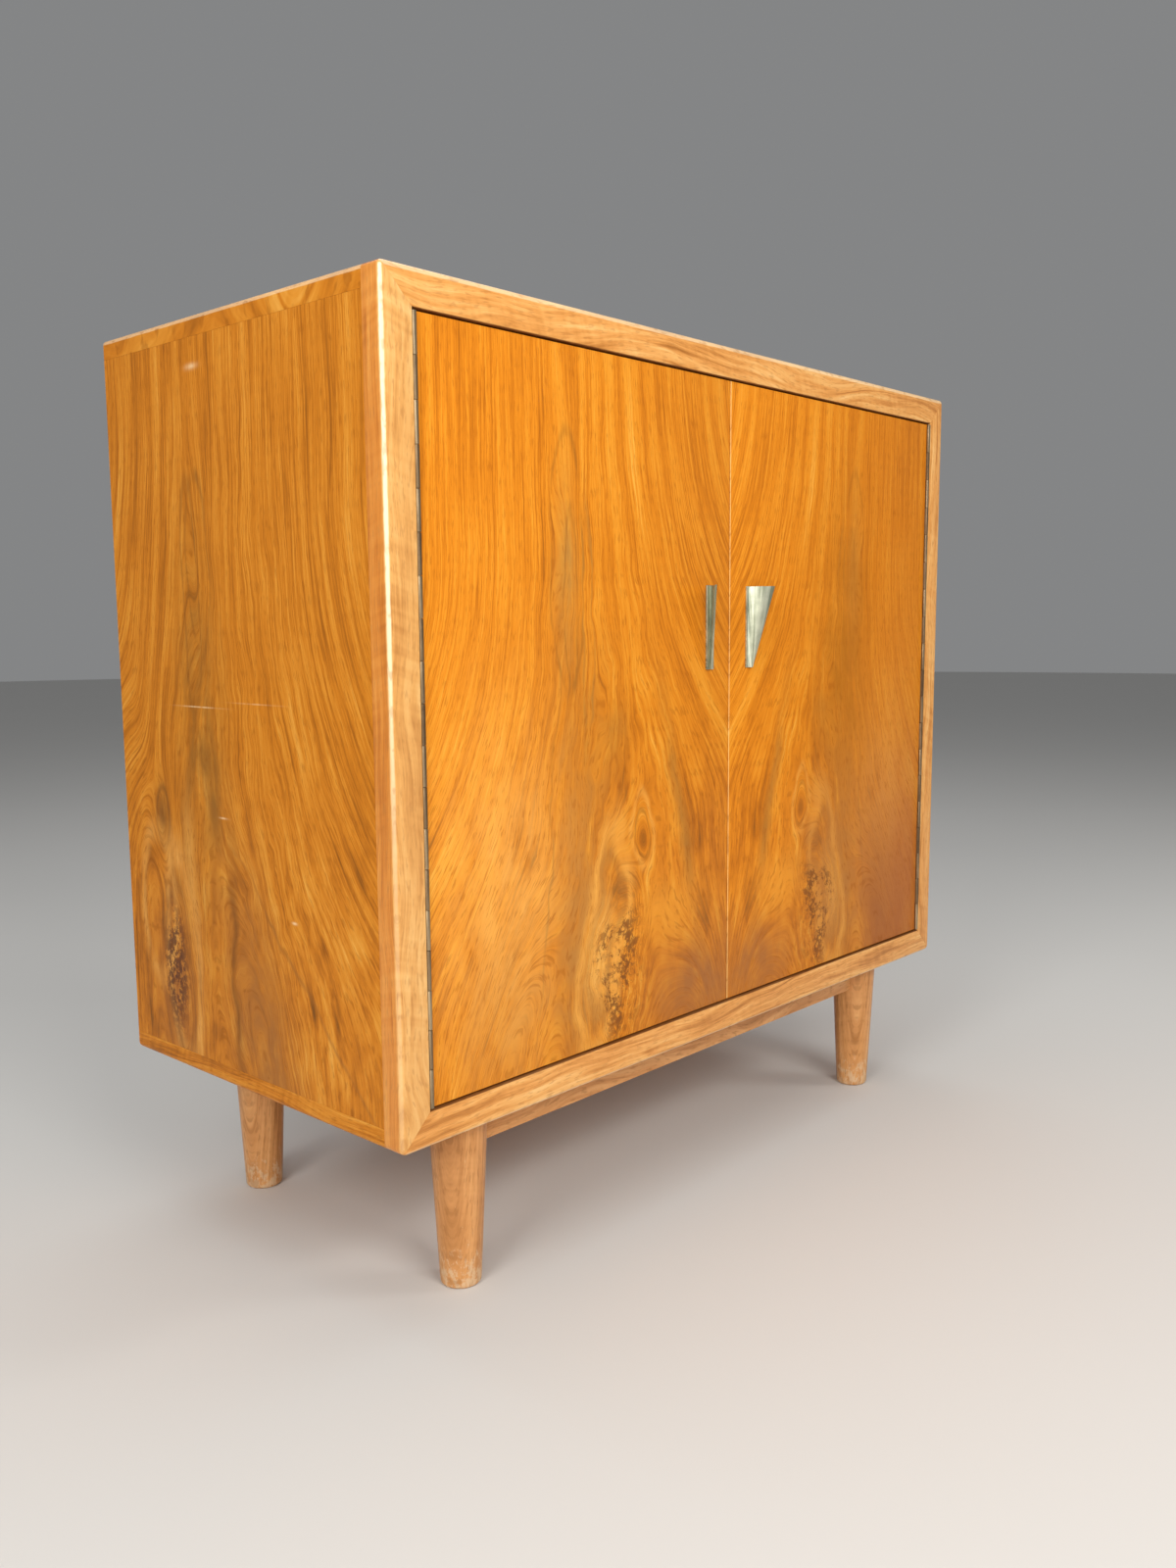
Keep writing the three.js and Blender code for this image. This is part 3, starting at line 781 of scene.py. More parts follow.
@dataclass(frozen=True)
class Tint:
    """A colour laid over the wood that comes in with depth under a face: a stain on the frame's sides, and
    painted shade on its faces beside the doors.

    Attributes:
        face: the face that the depth is measured from.
        start: depth where it starts to show, in millimetres.
        full: depth where it is strongest, in millimetres.
        strength: how much of it shows, from 0 to 1.
        colour: the colour.
        mode: how it is laid over the wood.
    """

    face: Face
    start: float
    full: float
    strength: float
    colour: Colour
    mode: str = "MULTIPLY"

    def mask(self, net: Net, place: list[Value]) -> Value:
        """Where the colour shows, from 0 to 1."""
        return self.face.depth(place).step(self.start, self.full) * self.strength


@dataclass(frozen=True)
class WornArris:
    """A rounded edge whose lacquer has rubbed through to pale wood; the pale colour is also a painted
    highlight along the edge.

    Attributes:
        faces: the two faces that meet there.
        amount: how much of it is worn and painted as highlight, from 0 to 1.
        colour: the rubbed wood's colour, which also serves as the painted highlight.
        fade: heights between which the wear and painted highlight come in, in millimetres, or nothing.
        mode: how it is laid over the wood.
        patch: size of the patches in the wear and painted highlight, in millimetres.
        reach: summed depths under the two faces between which the wear and painted highlight come in, in
            millimetres.
    """

    faces: tuple[Face, Face]
    amount: float = 0.85
    colour: Colour = (0.88, 0.74, 0.48)
    fade: tuple[float, ...] = ()
    mode: str = "MIX"
    patch: float = 22.0
    reach: tuple[float, float] = (3.5, 2.75)

    def mask(self, net: Net, place: list[Value]) -> Value:
        """Where the edge is worn and painted with highlight.

        Args:
            net: the material's net.
            place: the point being shaded.

        Returns:
            A value from 0 to 1.
        """
        first, second = self.faces
        inside = first.depth(place) + second.depth(place)
        patchy = net.noise(*(value * (1 / self.patch) for value in place), detail=3.0, rough=0.6)
        shown = (inside + patchy * 0.9).step(*self.reach) * self.amount
        return shown * place[Axis.Z.value].step(*self.fade) if self.fade else shown


@dataclass(frozen=True)
class StraightWalnut:
    """Walnut sawn or cut along the trunk, with its grain along one axis.

    Attributes:
        name: the material's name.
        grain: its tones and coat.
        along: the axis that the grain runs along.
        pith: where the middle of the trunk lies across the other two axes, in millimetres.
        seed: sets one board apart from another.
        figure: strength of the cross ripple.
        marks: its rubbed edges with their painted highlight, its tinted faces and the painted shade beside
            the doors.
        wander: how far the rings wander, in millimetres.
        wear_height: below this height in metres the coat is scuffed, or None.
        scuffed: colour of the scuffed wood.
    """

    name: str
    grain: Grain
    along: Axis
    pith: tuple[float, float]
    seed: float
    figure: float = 0.0
    marks: tuple[Union[WornArris, Tint], ...] = ()
    wander: float = 34.0
    wear_height: Optional[float] = None
    scuffed: Colour = (0.66, 0.47, 0.29)

    def build(self) -> bpy.types.Material:
        """Makes the material."""
        net = Net(self.name)
        place = net.place()
        along = place[self.along.value]
        sides = [place[axis.value] for axis in Axis if axis is not self.along]
        drift = net.noise(along * (1 / 240), sides[0] * (1 / 120), self.seed, detail=2.0)
        lean = net.noise(along * (1 / 300), sides[1] * (1 / 120), self.seed + 5.0, detail=2.0)
        first = sides[0] - self.pith[0] + drift * self.wander
        second = sides[1] - self.pith[1] + lean * self.wander
        ring = (first.squared() + second.squared()).root()
        tone = self.grain.tone(net, ring, along, self.seed)
        if self.figure:
            slant = (sides[0] + sides[1]) * 0.35
            ripple = net.noise((along + slant) * (1 / 8), ring * (1 / 50), self.seed + 9.0, detail=1.0)
            shown = net.noise(along * (1 / 90), ring * (1 / 40), self.seed + 10.0).step(-0.2, 0.2)
            tone = tone + ripple * shown * self.figure
        colour = net.ramp(tone, self.grain.tones.stops())
        # Marks include painted highlight on the rubbed arrises and painted shade on the faces beside the
        # doors.
        for mark in self.marks:
            colour = net.blend(mark.mask(net, place), colour, mark.colour, mark.mode)
        pores = self.grain.pores(net, ring, along, self.seed)
        wear = None
        if self.wear_height is not None:
            wear = self.scuffs(net, place)
            colour = net.blend(wear * 0.75, colour, self.scuffed)
        return self.grain.dress(net, colour, pores, wear)

    def scuffs(self, net: Net, place: list[Value]) -> Value:
        """Pale scuffs that thicken towards the floor.

        Args:
            net: the material's net.
            place: the point being shaded.

        Returns:
            A mask from 0 to 1.
        """
        x, y, z = place
        height = self.wear_height / MM
        low = z.step(height, 4.0)
        chips = net.noise(x * (1 / 5), y * (1 / 5), z * (1 / 9), detail=4.0, rough=0.7)
        nicks = net.noise(x * (1 / 3), y * (1 / 3), z * (1 / 14), detail=2.0).step(0.23, 0.27)
        return (chips + low * 0.34).step(0.26, 0.40) * low + nicks * 0.5


@dataclass(frozen=True)
class Hardboard:
    """Bare pressed board with a fibrous face."""

    name: str = "hardboard"
    colour: Colour = (0.17, 0.095, 0.048)
    flecks: Colour = (0.29, 0.18, 0.10)

    def build(self) -> bpy.types.Material:
        """Makes the material."""
        net = Net(self.name)
        x, y, z = net.place()
        fibre = net.noise(x * (1 / 1.6), y * (1 / 1.6), z * (1 / 1.1), detail=4.0, rough=0.7)
        blotch = net.noise(x * (1 / 120), y * (1 / 120), z * (1 / 120), detail=3.0)
        colour = net.blend(fibre.step(-0.05, 0.30) * 0.55 + blotch * 0.35, self.colour, self.flecks)
        varying = {
            "Base Color": colour,
            "Roughness": blotch * 0.15 + 0.72,
            "Normal": net.bump(fibre, 0.15 * MM),
        }
        return net.surface(varying, {"IOR": 1.4})


@dataclass(frozen=True)
class WornMetal:
    """Metal with a brushed or drawn surface and some tarnish, plus painted shade on the pull's wing and
    groove.

    Attributes:
        name: the material's name.
        bright: its clean colour.
        dull: its tarnished colour.
        roughness: of the clean metal.
        along: the axis that the marks run along.
        metallic: how metallic it is, below 1 under a chalky film.
        apex: the place that the marks fan out from, as its distance from the middle and its height in
            metres, or None where they run straight.
        soiled: the face under which the metal is painted darker as painted shade, in the groove beside the
            wing, or None.
        dirt: colour of that painted shade.
        mark_depth: depth of the marks, in metres.
        cloud_size: size of the clouds of tarnish, in millimetres.
    """

    name: str
    bright: Colour
    dull: Colour
    roughness: float
    along: Axis = Axis.Z
    metallic: float = 1.0
    apex: Optional[tuple[float, float]] = None
    soiled: Optional[Face] = None
    dirt: Colour = (0.05, 0.045, 0.03)
    mark_depth: float = 0.04 * MM
    cloud_size: float = 14.0

    def build(self) -> bpy.types.Material:
        """Makes the material."""
        net = Net(self.name)
        place = net.place()
        along = place[self.along.value] * (1 / 60)
        sides = [place[axis.value] for axis in Axis if axis is not self.along]
        outer_wing_shade: Number = 0.0
        if self.apex is not None:
            spread = (place[self.along.value] - self.apex[1] / MM) * (1 / 100)
            fanned = (abs(sides[0]) - self.apex[0] / MM) / spread
            # Painted shade: the wing's outer part is coloured duller and darker where its crown turns from
            # the light; this also roughens it.
            outer_wing_shade = fanned.step(9.0, 19.0) * 0.16
            sides = [fanned, sides[1] * 0.02]
        fine = net.noise(sides[0] * (1 / 0.7), sides[1] * (1 / 0.7), along, detail=3.0, rough=0.65)
        broad = net.noise(sides[0] * (1 / 5.0), sides[1] * (1 / 5.0), along * 0.5, detail=2.0)
        cloud = net.noise(*(value * (1 / self.cloud_size) for value in place), detail=4.0, rough=0.6)
        streaks = fine * 0.5 + broad * 0.9
        dulled = (cloud * 0.35 + streaks + outer_wing_shade).step(-0.22, 0.26)
        colour = net.blend(dulled, self.bright, self.dull)
        # Painted shade behind the flange's face, mostly in the groove beside the wing.
        if self.soiled is not None:
            colour = net.blend(self.soiled.depth(place).step(0.15, 0.8) * 0.9, colour, self.dirt)
        varying = {
            "Base Color": colour,
            "Roughness": dulled * 0.16 + fine * 0.10 + self.roughness,
            "Normal": net.bump(fine, self.mark_depth),
        }
        return net.surface(varying, {"Metallic": self.metallic})


@dataclass(frozen=True)
class MouldedPlastic:
    """Brown moulded plastic with a faint mottle."""

    name: str = "catch_moulding"
    colour: Colour = (0.075, 0.042, 0.026)
    mottle: Colour = (0.12, 0.07, 0.045)

    def build(self) -> bpy.types.Material:
        """Makes the material."""
        net = Net(self.name)
        x, y, z = (value * (1 / 3) for value in net.place())
        swirl = net.noise(x, y, z, detail=4.0, rough=0.6)
        varying = {
            "Base Color": net.blend(swirl.step(-0.1, 0.25), self.colour, self.mottle),
            "Roughness": swirl * 0.15 + 0.42,
            "Normal": net.bump(swirl, 0.04 * MM),
        }
        return net.surface(varying, {"IOR": 1.5})


@dataclass(frozen=True)
class PaleFloor:
    """A plain pale floor."""

    name: str = "pale_floor"
    colour: Colour = (0.66, 0.65, 0.63)

    def build(self) -> bpy.types.Material:
        """Makes the material."""
        net = Net(self.name)
        x, y, z = (value * (1 / 400) for value in net.place())
        cloud = net.noise(x, y, z, detail=3.0)
        varying = {
            "Base Color": net.blend(cloud * 0.3 + 0.5, self.colour, tuple(c * 0.97 for c in self.colour)),
            "Roughness": cloud * 0.1 + 0.75,
        }
        return net.surface(varying, {"IOR": 1.3})


# ------------------------------------------------------------------------------------------ solids


class Form:
    """A solid being shaped, which ends as one named piece."""

    def __init__(self) -> None:
        """Starts with nothing."""
        self.bm = bmesh.new()

    @classmethod
    def block(cls, low: Vector, high: Vector) -> "Form":
        """A box between two corners."""
        form = cls()
        form.add_block(low, high)
        return form

    def add_block(self, low: Vector, high: Vector) -> list[bmesh.types.BMVert]:
        """Adds a box.

        Args:
            low: its lowest corner.
            high: its highest corner.

        Returns:
            The new vertices.
        """
        size = Vector(high) - Vector(low)
        middle = (Vector(high) + Vector(low)) / 2
        matrix = Matrix.Translation(middle) @ Matrix.Diagonal((*size, 1.0))
        return bmesh.ops.create_cube(self.bm, size=1.0, matrix=matrix)["verts"]

    def add_rod(self, radius: float, start: Vector, end: Vector, steps: int = 24) -> list[bmesh.types.BMVert]:
        """Adds a round rod between two points.

        Args:
            radius: its radius.
            start: the middle of one end.
            end: the middle of the other end.
            steps: how many sides it has.

        Returns:
            The new vertices.
        """
        run = Vector(end) - Vector(start)
        turn = run.to_track_quat("Z", "Y").to_matrix().to_4x4()
        matrix = Matrix.Translation((Vector(start) + Vector(end)) / 2) @ turn
        made = bmesh.ops.create_cone(
            self.bm, cap_ends=True, segments=steps, radius1=radius, radius2=radius, depth=run.length,
            matrix=matrix,
        )
        return made["verts"]

    def add_prism(self, outline: list[Vector], run: Vector) -> list[bmesh.types.BMVert]:
        """Adds a flat outline pushed along a straight run.

        Args:
            outline: its corners, in order.
            run: how far and which way it is pushed.

        Returns:
            The vertices at the far end, in the outline's order.
        """
        near = [self.bm.verts.new(point) for point in outline]
        face = self.bm.faces.new(near)
        pushed = bmesh.ops.extrude_face_region(self.bm, geom=[face], use_keep_orig=True)["geom"]
        far = [item for item in pushed if isinstance(item, bmesh.types.BMVert)]
        bmesh.ops.translate(self.bm, verts=far, vec=run)
        bmesh.ops.recalc_face_normals(self.bm, faces=self.bm.faces[:])
        return [min(far, key=lambda v, p=point: (v.co - p - run).length) for point in outline]

    def add_turning(
        self, profile: list[tuple[float, float]], at: Vector, axis: Vector, steps: int = 48
    ) -> None:
        """Adds a turned solid.

        Args:
            profile: radii and places along the axis, starting and ending at radius 0.
            at: where the axis starts.
            axis: which way it runs.
            steps: how many steps the turn has.
        """
        turn = Vector(axis).to_track_quat("Z", "Y").to_matrix().to_4x4()
        matrix = Matrix.Translation(at) @ turn
        chain = [self.bm.verts.new(matrix @ Vector((radius, 0.0, place))) for radius, place in profile]
        edges = [self.bm.edges.new(pair) for pair in zip(chain, chain[1:])]
        bmesh.ops.spin(
            self.bm, geom=chain + edges, cent=at, axis=Vector(axis).normalized(), angle=2 * math.pi,
            steps=steps, use_merge=True,
        )
        self.heal()

    def heal(self) -> None:
        """Merges doubled vertices and turns every face outwards."""
        bmesh.ops.remove_doubles(self.bm, verts=self.bm.verts[:], dist=MERGE)
        loose = [edge for edge in self.bm.edges if edge.calc_length() < TOUCHING]
        bmesh.ops.dissolve_degenerate(self.bm, edges=loose, dist=TOUCHING)
        bmesh.ops.recalc_face_normals(self.bm, faces=self.bm.faces[:])

    def cut(self, point: Vector, outward: Vector) -> None:
        """Cuts away what lies past a plane and closes the cut.

        Args:
            point: a point on the plane.
            outward: the side to lose.
        """
        geometry = self.bm.verts[:] + self.bm.edges[:] + self.bm.faces[:]
        made = bmesh.ops.bisect_plane(
            self.bm, geom=geometry, dist=TOUCHING, plane_co=point, plane_no=outward, clear_outer=True
        )
        rim = [item for item in made["geom_cut"] if isinstance(item, bmesh.types.BMEdge)]
        if rim:
            bmesh.ops.contextual_create(self.bm, geom=rim)
            bmesh.ops.recalc_face_normals(self.bm, faces=self.bm.faces[:])

    def edges(self, test) -> list[bmesh.types.BMEdge]:
        """The edges whose two ends both pass a test on their place."""
        return [edge for edge in self.bm.edges if all(test(vert.co) for vert in edge.verts)]

    def round(self, edges: list[bmesh.types.BMEdge], radius: float, steps: int = 3) -> None:
        """Rounds edges.

        Args:
            edges: the edges to round.
            radius: how far the rounding reaches.
            steps: how many steps it takes.
        """
        bmesh.ops.bevel(
            self.bm, geom=edges, offset=radius, segments=steps, profile=0.5, affect="EDGES", material=-1,
            clamp_overlap=True,
        )

    def soften(self, radius: float, steps: int = 2) -> "Form":
        """Rounds every sharp edge a little."""
        sharp = [edge for edge in self.bm.edges if edge.is_manifold and edge.calc_face_angle() > SHARP]
        self.round(sharp, radius, steps)
        return self

    def piece(
        self, name: str, material: bpy.types.Material, body: str, slot: str, nodes: tuple[str, ...] = ()
    ) -> bpy.types.Object:
        """Ends the form as one object.

        Args:
            name: the piece's name.
            material: its finish.
            body: the body that it rides on.
            slot: the record's material slot; not used.
            nodes: the model's nodes that it stands for.

        Returns:
            The new object.
        """
        mesh = bpy.data.meshes.new(name)
        self.bm.to_mesh(mesh)
        self.bm.free()
        mesh.shade_smooth()
        mesh.set_sharp_from_angle(angle=CREASE)
        mesh.materials.append(material)
        made = bpy.data.objects.new(name, mesh)
        bpy.context.scene.collection.objects.link(made)
        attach(made, body)
        if nodes:
            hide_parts(*nodes)
        LOG.info("%s: %d faces on %s", name, len(mesh.polygons), body)
        return made


def dress_node(node: str, material: bpy.types.Material) -> None:
    """Gives a node of the model its finish.

    Args:
        node: the node's name.
        material: its finish.
    """
    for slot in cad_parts[node].material_slots:
        slot.material = material
    LOG.info("%s: kept from the model", node)


# ------------------------------------------------------------------------------------------ the finishes used


class Finishes:
    """Every finish on the cabinet, made once."""

    def __init__(self) -> None:
        """Builds the materials."""
        low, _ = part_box("left_door")
        side_low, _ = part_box("left_side_panel")
        door_grain = Grain(DOOR_TONES, GLOSS, contrast=0.92)
        side_grain = Grain(SIDE_TONES, GLOSS, contrast=0.92)
        leg_grain = Grain(LEG_TONES, SATIN, bands=10.0, lines=2.6, contrast=0.8)
        inside_grain = Grain(INSIDE_TONES, BARE, contrast=0.7)
        door_swells = (
            Swell(345.0, -10.0, 48.0, 135.0, -58.0, -0.36),
            Swell(190.0, 60.0, 36.0, 125.0, -62.0, -0.08),
            Swell(60.0, -45.0, 66.0, 112.0, 46.0),
            Swell(249.0, 462.0, 15.0, 105.0, 17.0),
            Swell(145.0, 200.0, 13.0, 32.0, -14.0),
            Swell(196.0, 330.0, 14.0, 40.0, 9.0),
        )
        brown = (0.36, 0.135, 0.024)
        olive = (0.38, 0.158, 0.024)
        umber = (0.20, 0.075, 0.012)
        door_stains = (
            Stain(Swell(225.0, 240.0, 48.0, 150.0, 0.60), (0.44, 0.155, 0.018), 1.0),
            Stain(Swell(243.0, 90.0, 26.0, 130.0, 0.80), brown, 0.8),
            Stain(Swell(249.0, 448.0, 16.0, 88.0, 0.60), (0.38, 0.180, 0.040), 0.7),
            Stain(Swell(248.0, 462.0, 22.0, 118.0, 0.26), umber, 1.6, 0.07),
            Stain(Swell(243.0, 430.0, 9.0, 80.0, 0.32), umber, 1.8, 0.12),
            Stain(Swell(222.0, 400.0, 6.0, 110.0, 0.45), olive, 1.6, 0.24),
            Stain(Swell(277.0, 190.0, 1.5, 165.0, 0.60, -0.09), umber, 1.0),
            Stain(Swell(146.0, 200.0, 10.0, 24.0, 0.40), umber, 0.9, 0.15),
            Stain(Swell(146.0, 205.0, 15.0, 38.0, 0.40), (0.82, 0.380, 0.065), 0.9, 0.20),
            Stain(Swell(203.0, 98.0, 27.0, 108.0, 0.60, -0.14), (0.80, 0.370, 0.065), 1.0, 0.26),
            Stain(Swell(199.0, 112.0, 16.0, 78.0, 0.50, -0.10), (0.30, 0.115, 0.022), 0.9, 0.22),
            Stain(Swell(82.0, 210.0, 9.0, 120.0, 0.70, 0.23), olive, 0.9),
            Stain(Swell(182.0, 305.0, 18.0, 26.0, 0.60), olive, 0.8),
            Stain(Swell(55.0, 22.0, 82.0, 60.0, 0.85), (0.38, 0.140, 0.034), 0.6),
            Stain(Swell(110.0, 118.0, 55.0, 30.0, 0.70), (0.74, 0.290, 0.028), 0.8),
            Stain(Swell(206.0, 92.0, 20.0, 52.0, 0.70), (0.80, 0.420, 0.095), 1.0),
            Stain(Swell(335.0, 62.0, 50.0, 88.0, 0.55), (0.54, 0.225, 0.040), 0.8),
            Stain(Swell(330.0, 170.0, 85.0, 150.0, 0.42), (0.86, 0.430, 0.100), 0.7),
        )
        door_burl = Burl(Swell(180.0, 70.0, 31.0, 72.0, 1.0), 3.4, 0.50, (0.17, 0.058, 0.014))

        def door(name: str, stains: tuple[Stain, ...], worn: float) -> bpy.types.Material:
            """One door's veneer, measured both ways from the meeting line."""
            return FiguredVeneer(
                name, door_grain, Axis.X, 0.0, True, low.z, 215.0, Fan(0.30, 200.0, 680.0),
                Fan(0.36, 40.0, 470.0), door_swells, stains, door_burl, worn, 4.0,
            ).build()

        # Extra patches on the right door. The two low ones toward its outer edge are partly painted
        # reflection, the reddish haze at that door's lower outer corner; the rest is its own figure.
        redder_with_painted_reflection = (
            Stain(Swell(385.0, 60.0, 78.0, 185.0, 0.75), (0.37, 0.108, 0.030), 0.15),
            Stain(Swell(322.0, 20.0, 44.0, 190.0, 0.60, -0.20), (0.28, 0.078, 0.020), 0.35),
            Stain(Swell(232.0, 380.0, 55.0, 150.0, 0.60), (0.36, 0.135, 0.012), 1.0),
            Stain(Swell(300.0, 400.0, 190.0, 300.0, 0.34), (0.54, 0.150, 0.002), 0.3),
            Stain(Swell(190.0, 110.0, 44.0, 110.0, 0.50), (0.38, 0.130, 0.026), 1.1),
        )
        # The right door's wider pale meeting line is painted highlight: its arris faces the light, the left
        # door's faces away.
        self.doors = {
            Hand.LEFT: door("left_door_veneer", door_stains, 0.95),
            Hand.RIGHT: door("right_door_veneer", door_stains + redder_with_painted_reflection, 1.8),
        }
        side_swells = (
            Swell(166.0, 0.0, 44.0, 190.0, 66.0, 0.22),
            Swell(313.0, 60.0, 30.0, 122.0, 50.0, 0.08),
            Swell(253.0, 482.0, 19.0, 95.0, 22.0),
            Swell(336.0, 240.0, 22.0, 52.0, 22.0),
            Swell(370.0, 360.0, 30.0, 90.0, 14.0),
        )
        pale = (0.82, 0.56, 0.30)
        side_stains = (
            Stain(Swell(262.0, 330.0, 38.0, 160.0, 0.65), (0.30, 0.120, 0.018), 1.1),
            Stain(Swell(242.0, 275.0, 12.0, 52.0, 0.70), (0.27, 0.112, 0.018), 0.8),
            Stain(Swell(336.0, 240.0, 13.0, 30.0, 0.80), (0.24, 0.095, 0.018), 0.4),
            Stain(Swell(170.0, 20.0, 48.0, 165.0, 0.85, 0.20), (0.36, 0.138, 0.030), 0.7),
            Stain(Swell(214.0, 95.0, 5.0, 115.0, 0.85), (0.20, 0.072, 0.014), 0.5),
            Stain(Swell(105.0, 105.0, 3.0, 125.0, 0.60, 0.95), (0.30, 0.110, 0.020), 0.8),
            Stain(Swell(325.0, 60.0, 42.0, 80.0, 0.55), (0.34, 0.130, 0.036), 0.5),
            Stain(Swell(253.0, 482.0, 20.0, 84.0, 0.34), (0.24, 0.090, 0.014), 1.5, 0.10),
            Stain(Swell(268.0, 455.0, 14.0, 110.0, 0.45), (0.26, 0.095, 0.014), 1.1, 0.12),
            Stain(Swell(336.0, 240.0, 12.0, 30.0, 0.55), (0.20, 0.075, 0.014), 0.8, 0.18),
            Stain(Swell(311.0, 98.0, 26.0, 108.0, 0.60, 0.06), (0.72, 0.340, 0.075), 1.0, 0.24),
            Stain(Swell(314.0, 86.0, 19.0, 92.0, 0.45, 0.06), (0.24, 0.085, 0.018), 0.9, 0.20),
            Stain(Swell(352.0, 150.0, 30.0, 75.0, 0.50), (0.70, 0.330, 0.070), 1.2, 0.20),
            Stain(Swell(292.0, 190.0, 9.0, 60.0, 0.70), (0.68, 0.330, 0.070), 0.6),
            Stain(Swell(262.0, 352.0, 28.0, 0.6, 0.9), pale, 1.3),
            Stain(Swell(165.0, 358.0, 30.0, 0.5, 0.5), pale, 1.6),
            Stain(Swell(227.0, 249.0, 7.0, 0.8, 0.9), pale, 0.8),
            Stain(Swell(115.0, 165.0, 3.0, 1.2, 1.0), pale, 0.3),
            Stain(Swell(250.0, 662.0, 9.0, 2.6, 0.8), pale, 0.8),
        )
        self.sides = FiguredVeneer(
            "side_veneer", side_grain, Axis.Y, side_low.y, False, side_low.z, 212.0, Fan(0.30, 30.0, 540.0),
            Fan(0.40, 150.0, 640.0), side_swells, side_stains,
            Burl(Swell(324.0, 88.0, 22.0, 62.0, 1.0), 1.8, 0.66, (0.085, 0.030, 0.018)), 0.0, 21.0,
        ).build()
        self.panels = StraightWalnut("panel_veneer", side_grain, Axis.X, (120.0, -700.0), 31.0).build()
        frame_low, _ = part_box("frame_left_stile")
        _, frame_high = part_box("frame_right_stile")
        bottom, opening_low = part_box("frame_bottom_rail")
        opening_high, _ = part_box("frame_top_rail")
        front = Face(Axis.Y, frame_low.y, 1.0)
        left, right = Face(Axis.X, frame_low.x, 1.0), Face(Axis.X, frame_high.x, -1.0)
        under, over = Face(Axis.Z, bottom.z, 1.0), Face(Axis.Z, frame_high.z, -1.0)
        orange = Tint(front, 2.6, 5.0, 1.0, (0.92, 0.66, 0.36))

        def grime(axis: Axis, place: float, inward: float) -> Tint:
            """Painted shade on an inner face of the frame, beside the doors, where the gap round them lies in
            shadow.
            """
            return Tint(Face(axis, place, inward), 1.2, 0.3, 0.9, (0.16, 0.11, 0.12))

        rails = Grain(RAIL_TONES, SATIN, bands=13.0, lines=3.2, contrast=1.15)
        stiles = Grain(SOLID_TONES, SATIN, bands=13.0, lines=3.0, contrast=0.8)
        self.frame = {
            "top_rail": StraightWalnut(
                "top_rail_walnut", rails, Axis.X, (-118.0, 805.0), 41.0, 0.35,
                (orange, WornArris((front, over), 0.45), grime(Axis.Z, opening_high.z, 1.0)),
            ).build(),
            "bottom_rail": StraightWalnut(
                "bottom_rail_walnut", rails, Axis.X, (-105.0, 265.0), 42.0, 0.35,
                (orange, WornArris((front, under), 0.35), grime(Axis.Z, opening_low.z, -1.0)),
            ).build(),
            # The left stile's strong pale arris, fading in up the stile, is mostly a painted highlight where
            # its front-left edge catches the light, over some wear.
            "left_stile": StraightWalnut(
                "left_stile_walnut", stiles, Axis.Z, (-380.0, -90.0), 43.0, 0.65,
                (orange, WornArris((front, left), 1.0, fade=(340.0, 700.0)), WornArris((front, left), 0.15)),
            ).build(),
            "right_stile": StraightWalnut(
                "right_stile_walnut", rails, Axis.Z, (380.0, -90.0), 44.0, 0.5,
                (orange, WornArris((front, right), 0.4)),
            ).build(),
        }
        self.inner_edges = {
            "deck": StraightWalnut("deck_edge_walnut", rails, Axis.X, (-120.0, 500.0), 45.0, 0.2).build(),
            "divider": StraightWalnut("divider_edge_walnut", rails, Axis.Z, (60.0, -90.0), 46.0, 0.2).build(),
        }
        ends = tuple(WornArris((side, over), 0.4) for side in (left, right))
        strip_grain = Grain(SIDE_TONES, GLOSS, bands=8.0, lines=2.6)
        self.lippings = StraightWalnut(
            "edge_strip_walnut", strip_grain, Axis.Y, (0.0, 905.0), 47.0, 0.5, ends
        ).build()
        self.legs = StraightWalnut(
            "leg_walnut", leg_grain, Axis.Z, (1500.0, 900.0), 51.0, 0.3, wander=12.0, wear_height=0.09
        ).build()
        self.under_rails = {
            axis: StraightWalnut(
                f"under_rail_walnut_{axis.name.lower()}", leg_grain, axis, (60.0, 40.0), 53.0
            ).build()
            for axis in (Axis.X, Axis.Y)
        }
        self.inside = {
            axis: StraightWalnut(
                f"inside_wood_{axis.name.lower()}", inside_grain, axis, (80.0, 30.0), 61.0
            ).build()
            for axis in Axis
        }
        self.back = Hardboard().build()
        # The door leaf is the same brass painted darker: painted shade, so that alternate knuckles read as
        # lit and shaded.
        self.hinge = {
            "frame_leaf": WornMetal("hinge_brass", (0.54, 0.42, 0.26), (0.26, 0.185, 0.11), 0.5).build(),
            "door_leaf": WornMetal("shaded_hinge_brass", (0.40, 0.29, 0.17), (0.19, 0.125, 0.072), 0.55).build(),
        }
        pull_low, pull_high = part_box("right_pull")
        apex = (pull_low.x + Door.wing_root + Door.wing_thickness, pull_low.z - Door.apex_drop)
        flange = Face(Axis.Y, pull_high.y - Door.flange_thickness, 1.0)
        self.pull = WornMetal(
            "pull_metal", (0.76, 0.78, 0.61), (0.25, 0.275, 0.195), 0.34, metallic=0.8, apex=apex,
            soiled=flange,
        ).build()
        self.screw = WornMetal("screw_metal", (0.56, 0.54, 0.49), (0.30, 0.28, 0.24), 0.36, Axis.Y).build()
        self.catch = MouldedPlastic().build()


# ------------------------------------------------------------------------------------------ the cabinet


